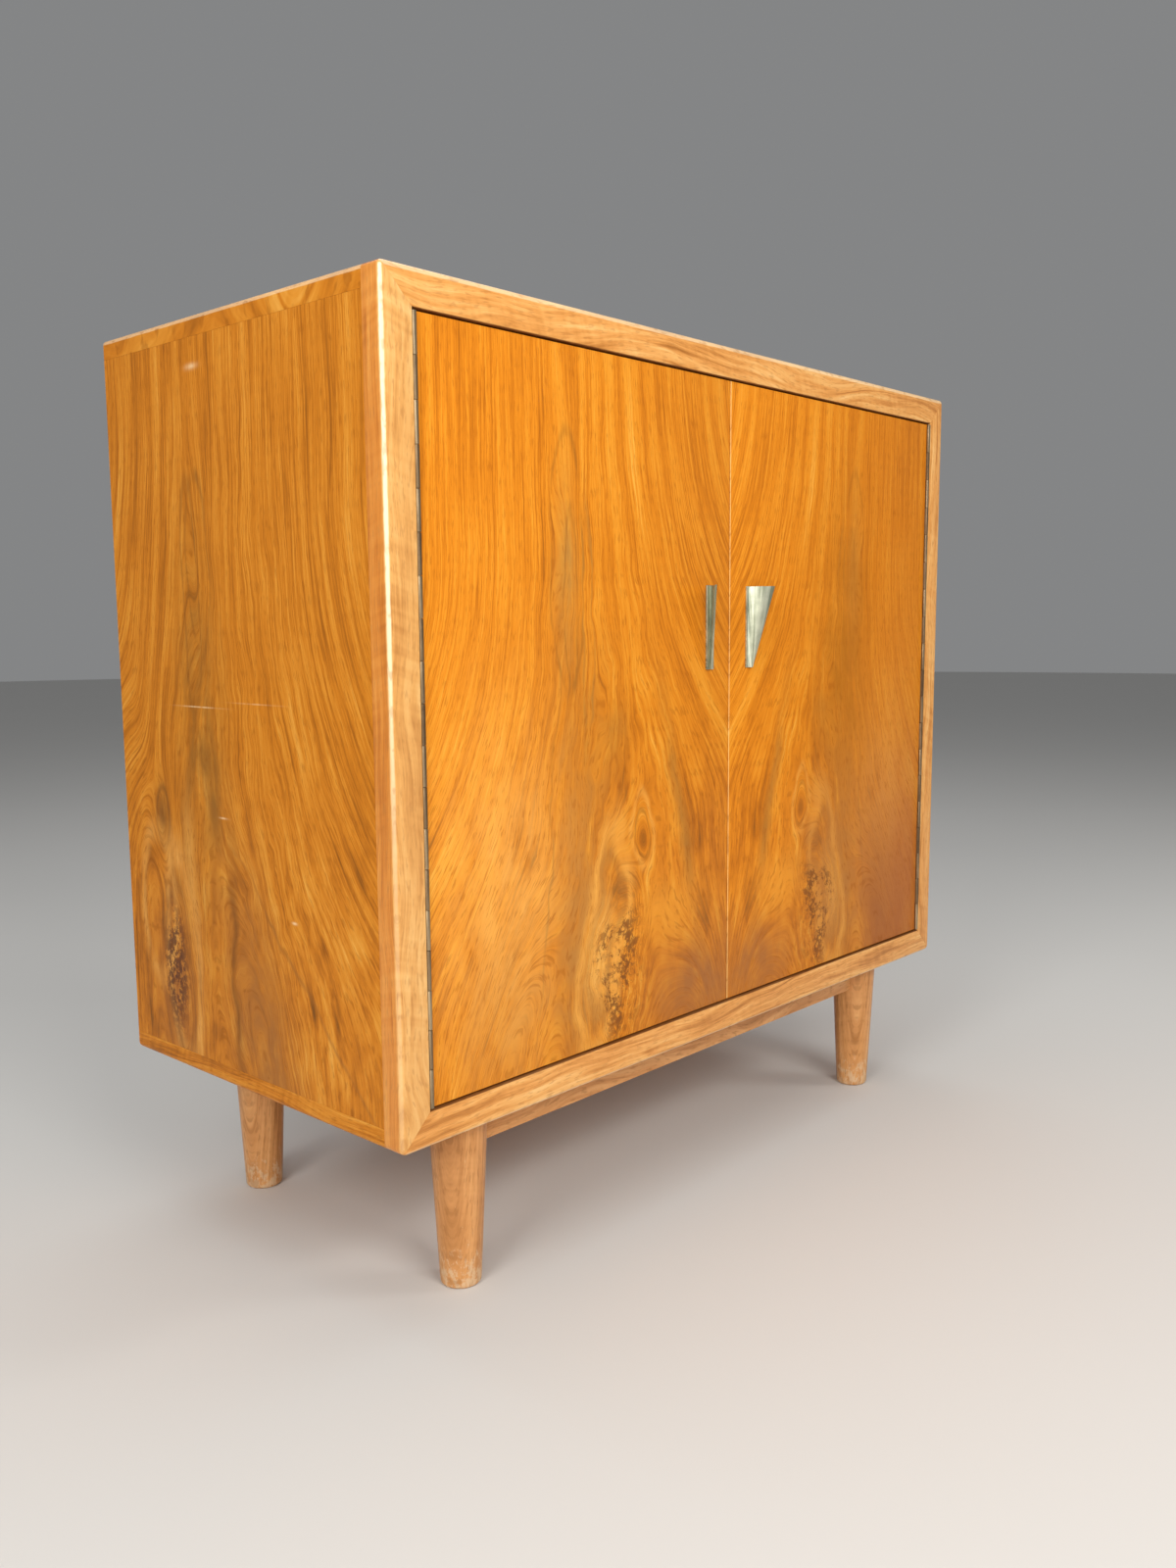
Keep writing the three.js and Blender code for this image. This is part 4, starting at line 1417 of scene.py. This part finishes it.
@dataclass
class Screws:
    """Slotted round-head screws.

    Attributes:
        finish: the metal.
        head_radius: radius of the head.
        head_height: height of the head.
        shank_radius: radius of the shank.
        slot_width: width of the driver slot.
        slot_depth: depth of the driver slot.
    """

    finish: bpy.types.Material
    head_radius: float = 4.0 * MM
    head_height: float = 2.4 * MM
    shank_radius: float = 1.8 * MM
    slot_width: float = 0.9 * MM
    slot_depth: float = 1.1 * MM

    def stand_for(self, node: str, body: str, out: Vector) -> None:
        """Replaces one screw of the model.

        Args:
            node: the model's screw.
            body: the body that it rides on.
            out: which way its head points.
        """
        low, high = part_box(node)
        middle = (low + high) / 2
        half = abs((high - low).dot(out)) / 2
        face = middle + out * half
        form = Form()
        self.add_head(form, face - out * self.head_height, out, 2 * half - self.head_height)
        form.piece(node.replace("screw", "round_screw"), self.finish, body, "screw_metal", (node,))

    def add_head(self, form: Form, seat: Vector, out: Vector, shank: float) -> None:
        """Adds a screw to a form.

        Args:
            form: the form to add to.
            seat: where the underside of the head sits.
            out: which way the head points.
            shank: length of the shank.
        """
        before = set(form.bm.verts)
        dome = [
            (self.head_radius * math.cos(turn), self.head_height * (0.35 + 0.65 * math.sin(turn)))
            for turn in (0.0, 0.5, 1.0, 1.35)
        ]
        profile = [
            (0.0, -shank), (self.shank_radius * 0.5, -shank), (self.shank_radius, -shank * 0.9),
            (self.shank_radius, 0.0), (self.head_radius, 0.0), *dome, (0.0, self.head_height),
        ]
        form.add_turning(profile, seat, out, steps=20)
        turn = out.to_track_quat("Z", "Y").to_matrix()
        side = turn @ Vector((1.0, 0.0, 0.0))
        for way in (-1.0, 1.0):
            mine = [face for face in form.bm.faces if not before.intersection(face.verts)]
            parts = {item for face in mine for item in (face, *face.edges, *face.verts)}
            point = seat + side * (way * self.slot_width / 2)
            bmesh.ops.bisect_plane(
                form.bm, geom=list(parts), dist=TOUCHING, plane_co=point, plane_no=side
            )
        mine = [face for face in form.bm.faces if not before.intersection(face.verts)]
        floor = [face for face in mine if self.in_slot(face, seat, out, side)]
        pushed = bmesh.ops.extrude_face_region(form.bm, geom=floor)["geom"]
        lowered = [item for item in pushed if isinstance(item, bmesh.types.BMVert)]
        bmesh.ops.translate(form.bm, verts=lowered, vec=-out * self.slot_depth)

    def in_slot(self, face: bmesh.types.BMFace, seat: Vector, out: Vector, side: Vector) -> bool:
        """Whether a face of the head lies in the driver slot."""
        place = face.calc_center_median() - seat
        reach = (place - out * place.dot(out)).length
        on_top = place.dot(out) > self.head_height * 0.5
        return on_top and abs(place.dot(side)) < self.slot_width / 2 and reach < self.head_radius * 0.85


@dataclass
class FrontFrame:
    """The mitred frame round the doors, and the solid strips along the ends of the top and bottom.

    Attributes:
        finishes: every finish.
        arris: radius of the outer edges round the front.
        side_arris: radius of the two upper long edges.
        under_arris: radius of the two lower long edges, which are more worn.
        inner_arris: radius of the edge beside the doors.
        seam: gap at each glue line.
        arris_steps: how many steps round an outer edge.
    """

    finishes: Finishes
    arris: float = 4.5 * MM
    side_arris: float = 5.0 * MM
    under_arris: float = 7.0 * MM
    inner_arris: float = 0.7 * MM
    seam: float = 0.05 * MM
    arris_steps: int = 6

    def __post_init__(self) -> None:
        """Measures the frame and the box."""
        left, left_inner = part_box("frame_left_stile")
        _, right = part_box("frame_right_stile")
        _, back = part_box("top_panel")
        _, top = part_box("frame_top_rail")
        bottom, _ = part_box("frame_bottom_rail")
        self.low = Vector((left.x, left.y, bottom.z))
        self.high = Vector((right.x, back.y, top.z))
        self.frame_back = right.y
        self.face = left_inner.x - self.low.x

    def finished_box(self) -> Form:
        """The whole box as one solid, rounded along its long edges and round its front."""
        past = Vector((0.0, 6 * self.arris, 0.0))
        form = Form.block(self.low, self.high + past)
        flat = 0.01 * MM
        long_edges = [e for e in form.bm.edges if abs(e.verts[0].co.y - e.verts[1].co.y) > flat]
        under = [e for e in long_edges if e.verts[0].co.z < self.low.z + flat]
        form.round([e for e in long_edges if e not in under], self.side_arris, self.arris_steps)
        form.round(under, self.under_arris, self.arris_steps)
        form.round(form.edges(lambda co: co.y < self.low.y + flat), self.arris, self.arris_steps)
        form.cut(Vector((0.0, self.high.y, 0.0)), Vector((0.0, 1.0, 0.0)))
        return form

    def build(self) -> None:
        """Makes the four members and the four strips."""
        corners = [
            Vector((self.low.x, 0, self.low.z)), Vector((self.high.x, 0, self.low.z)),
            Vector((self.high.x, 0, self.high.z)), Vector((self.low.x, 0, self.high.z)),
        ]
        names = ("bottom_rail", "right_stile", "top_rail", "left_stile")
        for number, name in enumerate(names):
            start, end = corners[number], corners[(number + 1) % 4]
            self.member(name, start, end)
        for level in ("top", "bottom"):
            for hand in Hand:
                self.strip(level, hand)

    def member(self, name: str, start: Vector, end: Vector) -> None:
        """One member, between two outer corners.

        Args:
            name: its name.
            start: the outer corner that it runs from.
            end: the outer corner that it runs to.
        """
        along = (end - start).normalized()
        inward = Vector((-along.z, 0.0, along.x))
        form = self.finished_box()
        form.cut(Vector((0.0, self.frame_back, 0.0)), Vector((0.0, 1.0, 0.0)))
        inner = start + inward * self.face
        form.cut(inner, inward)
        form.cut(start + along * self.seam, -(along - inward))
        form.cut(end - along * self.seam, along + inward)
        nearly = 0.2 * MM
        on_inner_front = form.edges(
            lambda co: abs((co - inner).dot(inward)) < nearly and co.y < self.low.y + nearly
        )
        form.round(on_inner_front, self.inner_arris, steps=2)
        form.piece(f"mitred_{name}", self.finishes.frame[name], "cabinet", "solid_walnut", (f"frame_{name}",))

    def strip(self, level: str, hand: Hand) -> None:
        """One strip along an end of the top or bottom panel.

        Args:
            level: top or bottom.
            hand: which end.
        """
        node = f"{level}_{hand.word}_lipping"
        low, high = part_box(node)
        form = self.finished_box()
        inner_x = high.x if hand is Hand.LEFT else low.x
        inner_z = low.z if level == "top" else high.z
        form.cut(Vector((0.0, self.frame_back + self.seam, 0.0)), Vector((0.0, -1.0, 0.0)))
        form.cut(Vector((inner_x, 0.0, 0.0)), Vector((-hand.sign, 0.0, 0.0)))
        form.cut(Vector((0.0, 0.0, inner_z)), Vector((0.0, 0.0, -1.0 if level == "top" else 1.0)))
        name = f"{level}_{hand.word}_edge_strip"
        form.piece(name, self.finishes.lippings, "cabinet", "solid_walnut", (node,))


@dataclass
class Door:
    """One door with its hinge, pull and strike.

    Attributes:
        hand: which door.
        finishes: every finish.
        screws: the screws used.
        arris: radius of the door's edges.
        barrel_radius: radius of the hinge barrel.
        leaf_thickness: thickness of the hinge leaves.
        leaf_depth: how far a leaf reaches back from the barrel's axis.
        pin_radius: radius of the hinge pin.
        knuckles: how many knuckles the hinge has.
        knuckle_gap: gap between knuckles.
        lap: how far the parts of a leaf run into one another.
        metal_arris: radius of the hinge's edges.
        leaf_screws: how many screws hold each leaf.
        leaf_screw_share: place of those screws, as a share of the leaf's depth.
        flange_width: width of the pull's flange.
        flange_thickness: thickness of the pull's flange.
        wing_root: from the flange's meeting side to the wing.
        wing_top: length of the wing at its top.
        wing_bottom: length of the wing at its bottom.
        wing_thickness: thickness of the wing.
        wing_angle: angle between the wing and the door, in degrees.
        wing_crown: how far the wing bows outward.
        apex_drop: how far under the pull the brush marks on the wing would meet.
        groove_width: width of the groove beside the wing.
        groove_depth: depth of the groove beside the wing.
        pull_arris: radius of the pull's edges.
    """

    hand: Hand
    finishes: Finishes
    screws: Screws
    arris: float = 0.9 * MM
    barrel_radius: float = 2.2 * MM
    leaf_thickness: float = 1.0 * MM
    leaf_depth: float = 16.0 * MM
    pin_radius: float = 1.0 * MM
    knuckles: int = 19
    knuckle_gap: float = 0.5 * MM
    lap: float = 0.2 * MM
    metal_arris: float = 0.18 * MM
    leaf_screws: int = 9
    leaf_screw_share: float = 0.62
    flange_width: float = 12.0 * MM
    flange_thickness: float = 2.0 * MM
    wing_root: float = 4.5 * MM
    wing_top: float = 26.0 * MM
    wing_bottom: float = 3.0 * MM
    wing_thickness: float = 1.8 * MM
    wing_angle: float = 47.0
    wing_crown: float = 1.8 * MM
    apex_drop: float = 11.0 * MM
    groove_width: float = 1.9 * MM
    groove_depth: float = 1.3 * MM
    pull_arris: float = 0.45 * MM

    def build(self) -> None:
        """Makes every piece of the door."""
        word = self.hand.word
        self.low, self.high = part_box(f"{word}_door")
        form = Form.block(self.low, self.high).soften(self.arris, 3)
        veneer = self.finishes.doors[self.hand]
        form.piece(f"{word}_door_leaf", veneer, self.hand.body, "door_veneer", (f"{word}_door",))
        self.hinge()
        self.pull()
        self.strike()
        for place in ("lower", "upper"):
            self.screws.stand_for(f"{word}_pull_screw_{place}", self.hand.body, Vector((0.0, 1.0, 0.0)))

    def hinge(self) -> None:
        """The two leaves with their knuckles, the pin and the leaf screws."""
        word, sign = self.hand.word, self.hand.sign
        low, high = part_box(f"{word}_hinge_pin")
        axis = (low + high) / 2
        pitch = (high.z - low.z) / self.knuckles
        plans = (
            ("frame_leaf", "cabinet", 0, 1.0),
            ("door_leaf", self.hand.body, 1, -1.0),
        )
        for leaf, body, parity, outward in plans:
            outer = axis.x + sign * outward * self.barrel_radius
            inner = outer - sign * outward * self.leaf_thickness
            start = axis.y + self.barrel_radius + 2 * self.knuckle_gap
            form = Form()
            plate = (min(outer, inner), max(outer, inner))
            end = axis.y + self.leaf_depth
            form.add_block(Vector((plate[0], start, low.z)), Vector((plate[1], end, high.z)))
            for number in range(parity, self.knuckles, 2):
                bottom = low.z + number * pitch + self.knuckle_gap / 2
                top = low.z + (number + 1) * pitch - self.knuckle_gap / 2
                foot, head = Vector((axis.x, axis.y, bottom)), Vector((axis.x, axis.y, top))
                form.add_rod(self.barrel_radius, foot, head)
                web_low = Vector((plate[0], axis.y + 2 * self.lap, bottom + self.lap))
                form.add_block(web_low, Vector((plate[1], start + self.lap, top - self.lap)))
            form.soften(self.metal_arris, 2)
            name = f"{word}_hinge_{leaf}"
            form.piece(f"{name}_with_knuckles", self.finishes.hinge[leaf], body, "hinge_metal", (name,))
            self.leaf_fixings(f"{name}_screws", inner, sign * outward, axis, low.z, high.z, body)
        pin = Form()
        foot, head = Vector((axis.x, axis.y, low.z)), Vector((axis.x, axis.y, high.z))
        pin.add_rod(self.pin_radius, foot, head, steps=16)
        brass = self.finishes.hinge["frame_leaf"]
        pin.piece(f"{word}_hinge_wire", brass, "cabinet", "hinge_metal", (f"{word}_hinge_pin",))

    def leaf_fixings(
        self, name: str, face: float, side: float, axis: Vector, bottom: float, top: float, body: str
    ) -> None:
        """The countersunk screws in one leaf.

        Args:
            name: the piece's name.
            face: where the leaf's open face lies along X.
            side: which way along X the leaf's back lies.
            axis: a point on the hinge's axis.
            bottom: the leaf's lower end.
            top: the leaf's upper end.
            body: the body that they ride on.
        """
        form = Form()
        sunk = Screws(self.finishes.screw, 2.5 * MM, 0.5 * MM, 1.1 * MM, 0.5 * MM, 0.3 * MM)
        spacing = (top - bottom) / self.leaf_screws
        out = Vector((-side, 0.0, 0.0))
        depth = axis.y + self.leaf_depth * self.leaf_screw_share
        for number in range(self.leaf_screws):
            seat = Vector((face, depth, bottom + (number + 0.5) * spacing)) - out * 0.3 * MM
            sunk.add_head(form, seat, out, 0.4 * MM)
        form.piece(name, self.finishes.screw, body, "screw_metal")

    def pull(self) -> None:
        """The flange and its tapered wing, folded away from the meeting edge."""
        word, sign = self.hand.word, self.hand.sign
        low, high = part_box(f"{word}_pull")
        near = low.x if sign > 0 else -high.x
        door_face = self.low.y
        form = Form()
        bottom = self.pull_section(near, door_face, self.wing_bottom)
        top = self.pull_section(near, door_face, self.wing_top)
        rise = Vector((0.0, 0.0, high.z - low.z))
        ends = form.add_prism([point + Vector((0.0, 0.0, low.z)) for point in bottom], rise)
        for vert, point in zip(ends, top):
            vert.co = point + Vector((0.0, 0.0, high.z))
        form.soften(self.pull_arris, 3)
        if sign < 0:
            bmesh.ops.scale(form.bm, vec=(-1.0, 1.0, 1.0), verts=form.bm.verts[:])
            bmesh.ops.recalc_face_normals(form.bm, faces=form.bm.faces[:])
        form.piece(f"{word}_wedge_pull", self.finishes.pull, self.hand.body, "pull_metal", (f"{word}_pull",))

    def pull_section(self, near: float, door_face: float, length: float) -> list[Vector]:
        """A level section of the right-hand pull.

        Args:
            near: the flange's meeting side, along X.
            door_face: the door's face, along Y.
            length: length of the wing at this level.

        Returns:
            The section's corners in order, at height 0.
        """
        tilt = math.radians(self.wing_angle)
        along = Vector((math.cos(tilt), -math.sin(tilt), 0.0))
        across = Vector((-math.sin(tilt), -math.cos(tilt), 0.0))
        front = door_face - self.flange_thickness
        far = near + self.flange_width
        root = Vector((near + self.wing_root + self.wing_thickness, front, 0.0))
        crown = self.wing_crown * length / self.wing_top
        under = [
            root + along * (length * share) + across * (crown * math.sin(math.pi * share))
            for share in (0.0, 0.2, 0.4, 0.6, 0.8, 1.0)
        ]
        over = [point + across * self.wing_thickness for point in reversed(under)]
        heel = over[-1].x - (over[-1].y - front) * along.x / along.y
        over[-1] = Vector((heel, front, 0.0))
        groove = [
            Vector((heel - 0.3 * self.groove_width, front + self.groove_depth, 0.0)),
            Vector((heel - 0.8 * self.groove_width, front + self.groove_depth, 0.0)),
            Vector((heel - self.groove_width, front, 0.0)),
        ]
        return [
            Vector((near, door_face, 0.0)), Vector((far, door_face, 0.0)), Vector((far, front, 0.0)),
            *under, *over, *groove, Vector((near, front, 0.0)),
        ]

    def strike(self) -> None:
        """The strike plate on the back of the door, with its two screws."""
        word = self.hand.word
        node = f"{word}_strike_plate"
        low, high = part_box(node)
        form = Form.block(low, high).soften(0.5 * MM, 2)
        form.piece(f"{word}_strike", self.finishes.screw, self.hand.body, "screw_metal", (node,))
        fixings = Form()
        sunk = Screws(self.finishes.screw, 2.2 * MM, 0.6 * MM, 1.0 * MM, 0.5 * MM, 0.4 * MM)
        for share in (0.2, 0.8):
            seat = Vector((low.x + (high.x - low.x) * share, high.y - 0.2 * MM, (low.z + high.z) / 2))
            sunk.add_head(fixings, seat, Vector((0.0, 1.0, 0.0)), 0.5 * MM)
        fixings.piece(f"{word}_strike_screws", self.finishes.screw, self.hand.body, "screw_metal")


@dataclass
class Catch:
    """A magnetic catch: a moulded case round two steel poles, held by two screws.

    Attributes:
        hand: which catch.
        finishes: every finish.
        pole_thickness: thickness of each steel pole.
        pole_height: height of each pole's face.
        pole_spread: from one pole to the other.
        pole_depth: how far each pole reaches back.
        pole_lift: from the underside of the case to the poles.
        pole_proud: how far the poles stand out of the case.
        case_arris: radius of the case's edges.
    """

    hand: Hand
    finishes: Finishes
    pole_thickness: float = 2.0 * MM
    pole_height: float = 9.0 * MM
    pole_spread: float = 22.0 * MM
    pole_depth: float = 12.0 * MM
    pole_lift: float = 1.5 * MM
    pole_proud: float = 0.4 * MM
    case_arris: float = 1.2 * MM

    def build(self) -> None:
        """Makes the case, the poles and the screws."""
        node = f"{self.hand.word}_magnetic_catch"
        low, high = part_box(node)
        form = Form.block(low + Vector((0.0, self.pole_proud, 0.0)), high).soften(self.case_arris, 3)
        form.piece(f"{self.hand.word}_catch_case", self.finishes.catch, "cabinet", "catch_plastic", (node,))
        poles = Form()
        middle = (low.x + high.x) / 2
        for way in (-0.5, 0.5):
            x = middle + way * self.pole_spread
            foot = Vector((x - self.pole_thickness / 2, low.y, low.z + self.pole_lift))
            poles.add_block(foot, foot + Vector((self.pole_thickness, self.pole_depth, self.pole_height)))
        poles.soften(0.2 * MM)
        poles.piece(f"{self.hand.word}_catch_poles", self.finishes.screw, "cabinet", "screw_metal")
        fixings = Form()
        screws = Screws(self.finishes.screw, 2.6 * MM, 1.0 * MM, 1.2 * MM, 0.6 * MM, 0.5 * MM)
        for share in (0.12, 0.88):
            seat = Vector((low.x + (high.x - low.x) * share, (low.y + high.y) / 2, low.z + 0.1 * MM))
            screws.add_head(fixings, seat, Vector((0.0, 0.0, -1.0)), 0.5 * MM)
        fixings.piece(f"{self.hand.word}_catch_screws", self.finishes.screw, "cabinet", "screw_metal")


@dataclass
class Underframe:
    """Four turned legs joined by four rails.

    Attributes:
        finishes: every finish.
        screws: the screws used.
        foot_radius: radius of a leg at the floor.
        foot_rounding: rounding of a foot's edge.
        steps: how many steps a turned surface has.
    """

    finishes: Finishes
    screws: Screws
    foot_radius: float = 19.3 * MM
    foot_rounding: float = 3.5 * MM
    steps: int = 64

    def build(self) -> None:
        """Makes the legs and dresses the rails."""
        for row in ("front", "rear"):
            for hand in Hand:
                self.leg(f"{row}_{hand.word}_leg")
                node = f"underframe_screw_{row}_{hand.word}"
                self.screws.stand_for(node, "cabinet", Vector((0.0, 0.0, -1.0)))
        for side, axis in (("front", Axis.X), ("rear", Axis.X), ("left", Axis.Y), ("right", Axis.Y)):
            dress_node(f"{side}_under_rail", self.finishes.under_rails[axis])

    def leg(self, node: str) -> None:
        """One turned leg.

        Args:
            node: the model's leg.
        """
        low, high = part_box(node)
        middle = (low + high) / 2
        top_radius = (high.x - low.x) / 2
        arc = [
            (
                self.foot_radius - self.foot_rounding * (1 - math.sin(turn)),
                self.foot_rounding * (1 - math.cos(turn)),
            )
            for turn in (0.0, 0.3, 0.6, 0.9, 1.2, math.pi / 2)
        ]
        height = high.z - low.z
        slope = (top_radius - self.foot_radius) / height
        shaft = [
            (self.foot_radius + slope * height * share, height * share) for share in (0.25, 0.5, 0.75, 1.0)
        ]
        profile = [(0.0, 0.0), *arc, *shaft, (0.0, height)]
        form = Form()
        foot = Vector((middle.x, middle.y, low.z))
        form.add_turning(profile, foot, Vector((0.0, 0.0, 1.0)), self.steps)
        form.piece(f"{node}_turned", self.finishes.legs, "cabinet", "underframe_walnut", (node,))


@dataclass
class Box:
    """The boards of the box, the boards inside it and the back.

    Attributes:
        finishes: every finish.
        screws: the screws used.
        ease: how much the edges of the inner boards are eased.
    """

    finishes: Finishes
    screws: Screws
    ease: float = 0.6 * MM

    def build(self) -> None:
        """Dresses the outer boards and makes the inner ones."""
        for hand in Hand:
            dress_node(f"{hand.word}_side_panel", self.finishes.sides)
        for level in ("top", "bottom"):
            dress_node(f"{level}_panel", self.finishes.panels)
        for level in ("upper", "lower"):
            dress_node(f"{level}_back_panel", self.finishes.back)
            for place in ("low", "high"):
                for hand in Hand:
                    node = f"{level}_back_screw_{place}_{hand.word}"
                    self.screws.stand_for(node, "cabinet", Vector((0.0, 1.0, 0.0)))
        inside = self.finishes.inside
        self.board("set_deck", "set_deck_board", inside[Axis.X], "inside_wood")
        self.board("bay_divider", "bay_divider_board", inside[Axis.Z], "inside_wood")
        edges = self.finishes.inner_edges
        self.board("set_deck_lipping", "set_deck_edge", edges["deck"], "solid_walnut")
        self.board("bay_divider_lipping", "bay_divider_edge", edges["divider"], "solid_walnut")
        for hand in Hand:
            self.board(f"{hand.word}_deck_cleat", f"{hand.word}_deck_bearer", inside[Axis.Y], "inside_wood")

    def board(self, node: str, name: str, finish: bpy.types.Material, slot: str) -> None:
        """One board with eased edges.

        Args:
            node: the model's board.
            name: the piece's name.
            finish: its finish.
            slot: the record's material slot.
        """
        low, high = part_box(node)
        Form.block(low, high).soften(self.ease, 2).piece(name, finish, "cabinet", slot, (node,))


# ------------------------------------------------------------------------------------------ studio


@dataclass
class Studio:
    """The camera, the lights and the floor.

    Attributes:
        camera_offset: from the box's lower front left corner to the camera.
        yaw: how far the camera turns from +Y towards +X, in degrees.
        pitch: how far it looks up, in degrees.
        roll: how far it leans, in degrees.
        lens: focal length, in millimetres on a 36 mm frame.
        floor_radius: how far the floor reaches.
        aim: the point that the lights are aimed at.
        sky: colour of the sky.
        sky_strength: brightness of the sky.
    """

    camera_offset: tuple[float, float, float] = (-0.65375, -0.80674, 0.44339)
    yaw: float = 47.697
    pitch: float = -7.216
    roll: float = -0.395
    lens: float = 29.62
    floor_radius: float = 14.0
    aim: tuple[float, float, float] = (0.0, 0.0, 0.5)
    sky: Colour = (0.80, 0.81, 0.82)
    sky_strength: float = 0.29

    def build(self) -> None:
        """Sets up the camera, the lights and the floor."""
        self.camera()
        self.floor()
        self.lights()

    def camera(self) -> None:
        """Places the camera."""
        stile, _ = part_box("frame_left_stile")
        rail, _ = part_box("frame_bottom_rail")
        corner = Vector((stile.x, stile.y, rail.z))
        data = bpy.data.cameras.new("camera")
        data.sensor_width = 36.0
        data.lens = self.lens
        data.clip_start = 0.01
        view = bpy.data.objects.new("camera", data)
        turn = (
            Matrix.Rotation(math.radians(-self.yaw), 4, "Z")
            @ Matrix.Rotation(math.radians(90.0 + self.pitch), 4, "X")
            @ Matrix.Rotation(math.radians(self.roll), 4, "Z")
        )
        view.matrix_world = Matrix.Translation(corner + Vector(self.camera_offset)) @ turn
        bpy.context.scene.collection.objects.link(view)
        bpy.context.scene.camera = view

    def floor(self) -> None:
        """Lays the floor."""
        form = Form()
        bmesh.ops.create_circle(form.bm, cap_ends=True, segments=96, radius=self.floor_radius)
        mesh = bpy.data.meshes.new("floor")
        form.bm.to_mesh(mesh)
        form.bm.free()
        mesh.materials.append(PaleFloor().build())
        made = bpy.data.objects.new("floor", mesh)
        bpy.context.scene.collection.objects.link(made)

    def lights(self) -> None:
        """Hangs the soft lights and sets the sky."""
        self.light("key", Vector((-0.75, -2.1, 1.5)), (1.2, 1.0), 31.0, (1.0, 0.98, 0.94), False)
        self.light("right_fill", Vector((1.8, -2.2, 2.0)), (0.7, 0.5), 17.0, (1.0, 0.97, 0.93), False)
        self.light("corner_strip", Vector((-2.4, -2.1, 0.9)), (0.7, 1.8), 22.0, (1.0, 0.97, 0.92))
        self.light("side_fill", Vector((-2.5, -0.8, 1.8)), (1.0, 1.2), 34.0, (1.0, 0.97, 0.93))
        self.light("top", Vector((0.2, 0.6, 3.4)), (3.0, 3.0), 40.0, (0.98, 0.99, 1.0))
        world = bpy.data.worlds.new("sky")
        world.use_nodes = True
        background = world.node_tree.nodes["Background"]
        background.inputs["Color"].default_value = (*self.sky, 1.0)
        background.inputs["Strength"].default_value = self.sky_strength
        bpy.context.scene.world = world
        bpy.context.scene.view_settings.view_transform = "Standard"

    def light(
        self, name: str, at: Vector, size: tuple[float, float], power: float, colour: Colour,
        mirrored: bool = True,
    ) -> None:
        """Hangs one rectangular light aimed at the cabinet.

        Args:
            name: its name.
            at: where it hangs.
            size: its width and height.
            power: its power, in watts.
            colour: its colour.
            mirrored: whether glossy surfaces reflect it.
        """
        data = bpy.data.lights.new(name, "AREA")
        data.shape = "RECTANGLE"
        data.size, data.size_y = size
        data.energy = power
        data.color = colour
        lamp = bpy.data.objects.new(name, data)
        aim = Vector(self.aim) - at
        lamp.matrix_world = Matrix.Translation(at) @ aim.to_track_quat("-Z", "Y").to_matrix().to_4x4()
        lamp.visible_glossy = mirrored
        bpy.context.scene.collection.objects.link(lamp)


def corners(bounds: tuple[Vector, Vector]) -> list[list[float]]:
    """Bounds as plain lists of numbers."""
    return [[float(value) for value in corner] for corner in bounds]


def main() -> None:
    """Builds the cabinet in its studio."""
    logging.basicConfig(level=logging.INFO, format="%(name)s %(message)s")
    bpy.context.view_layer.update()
    finishes = Finishes()
    screws = Screws(finishes.screw)
    Studio().build()
    Box(finishes, screws).build()
    FrontFrame(finishes).build()
    Underframe(finishes, screws).build()
    for hand in Hand:
        Door(hand, finishes, screws).build()
        Catch(hand, finishes).build()


if __name__ == "__main__":
    main()
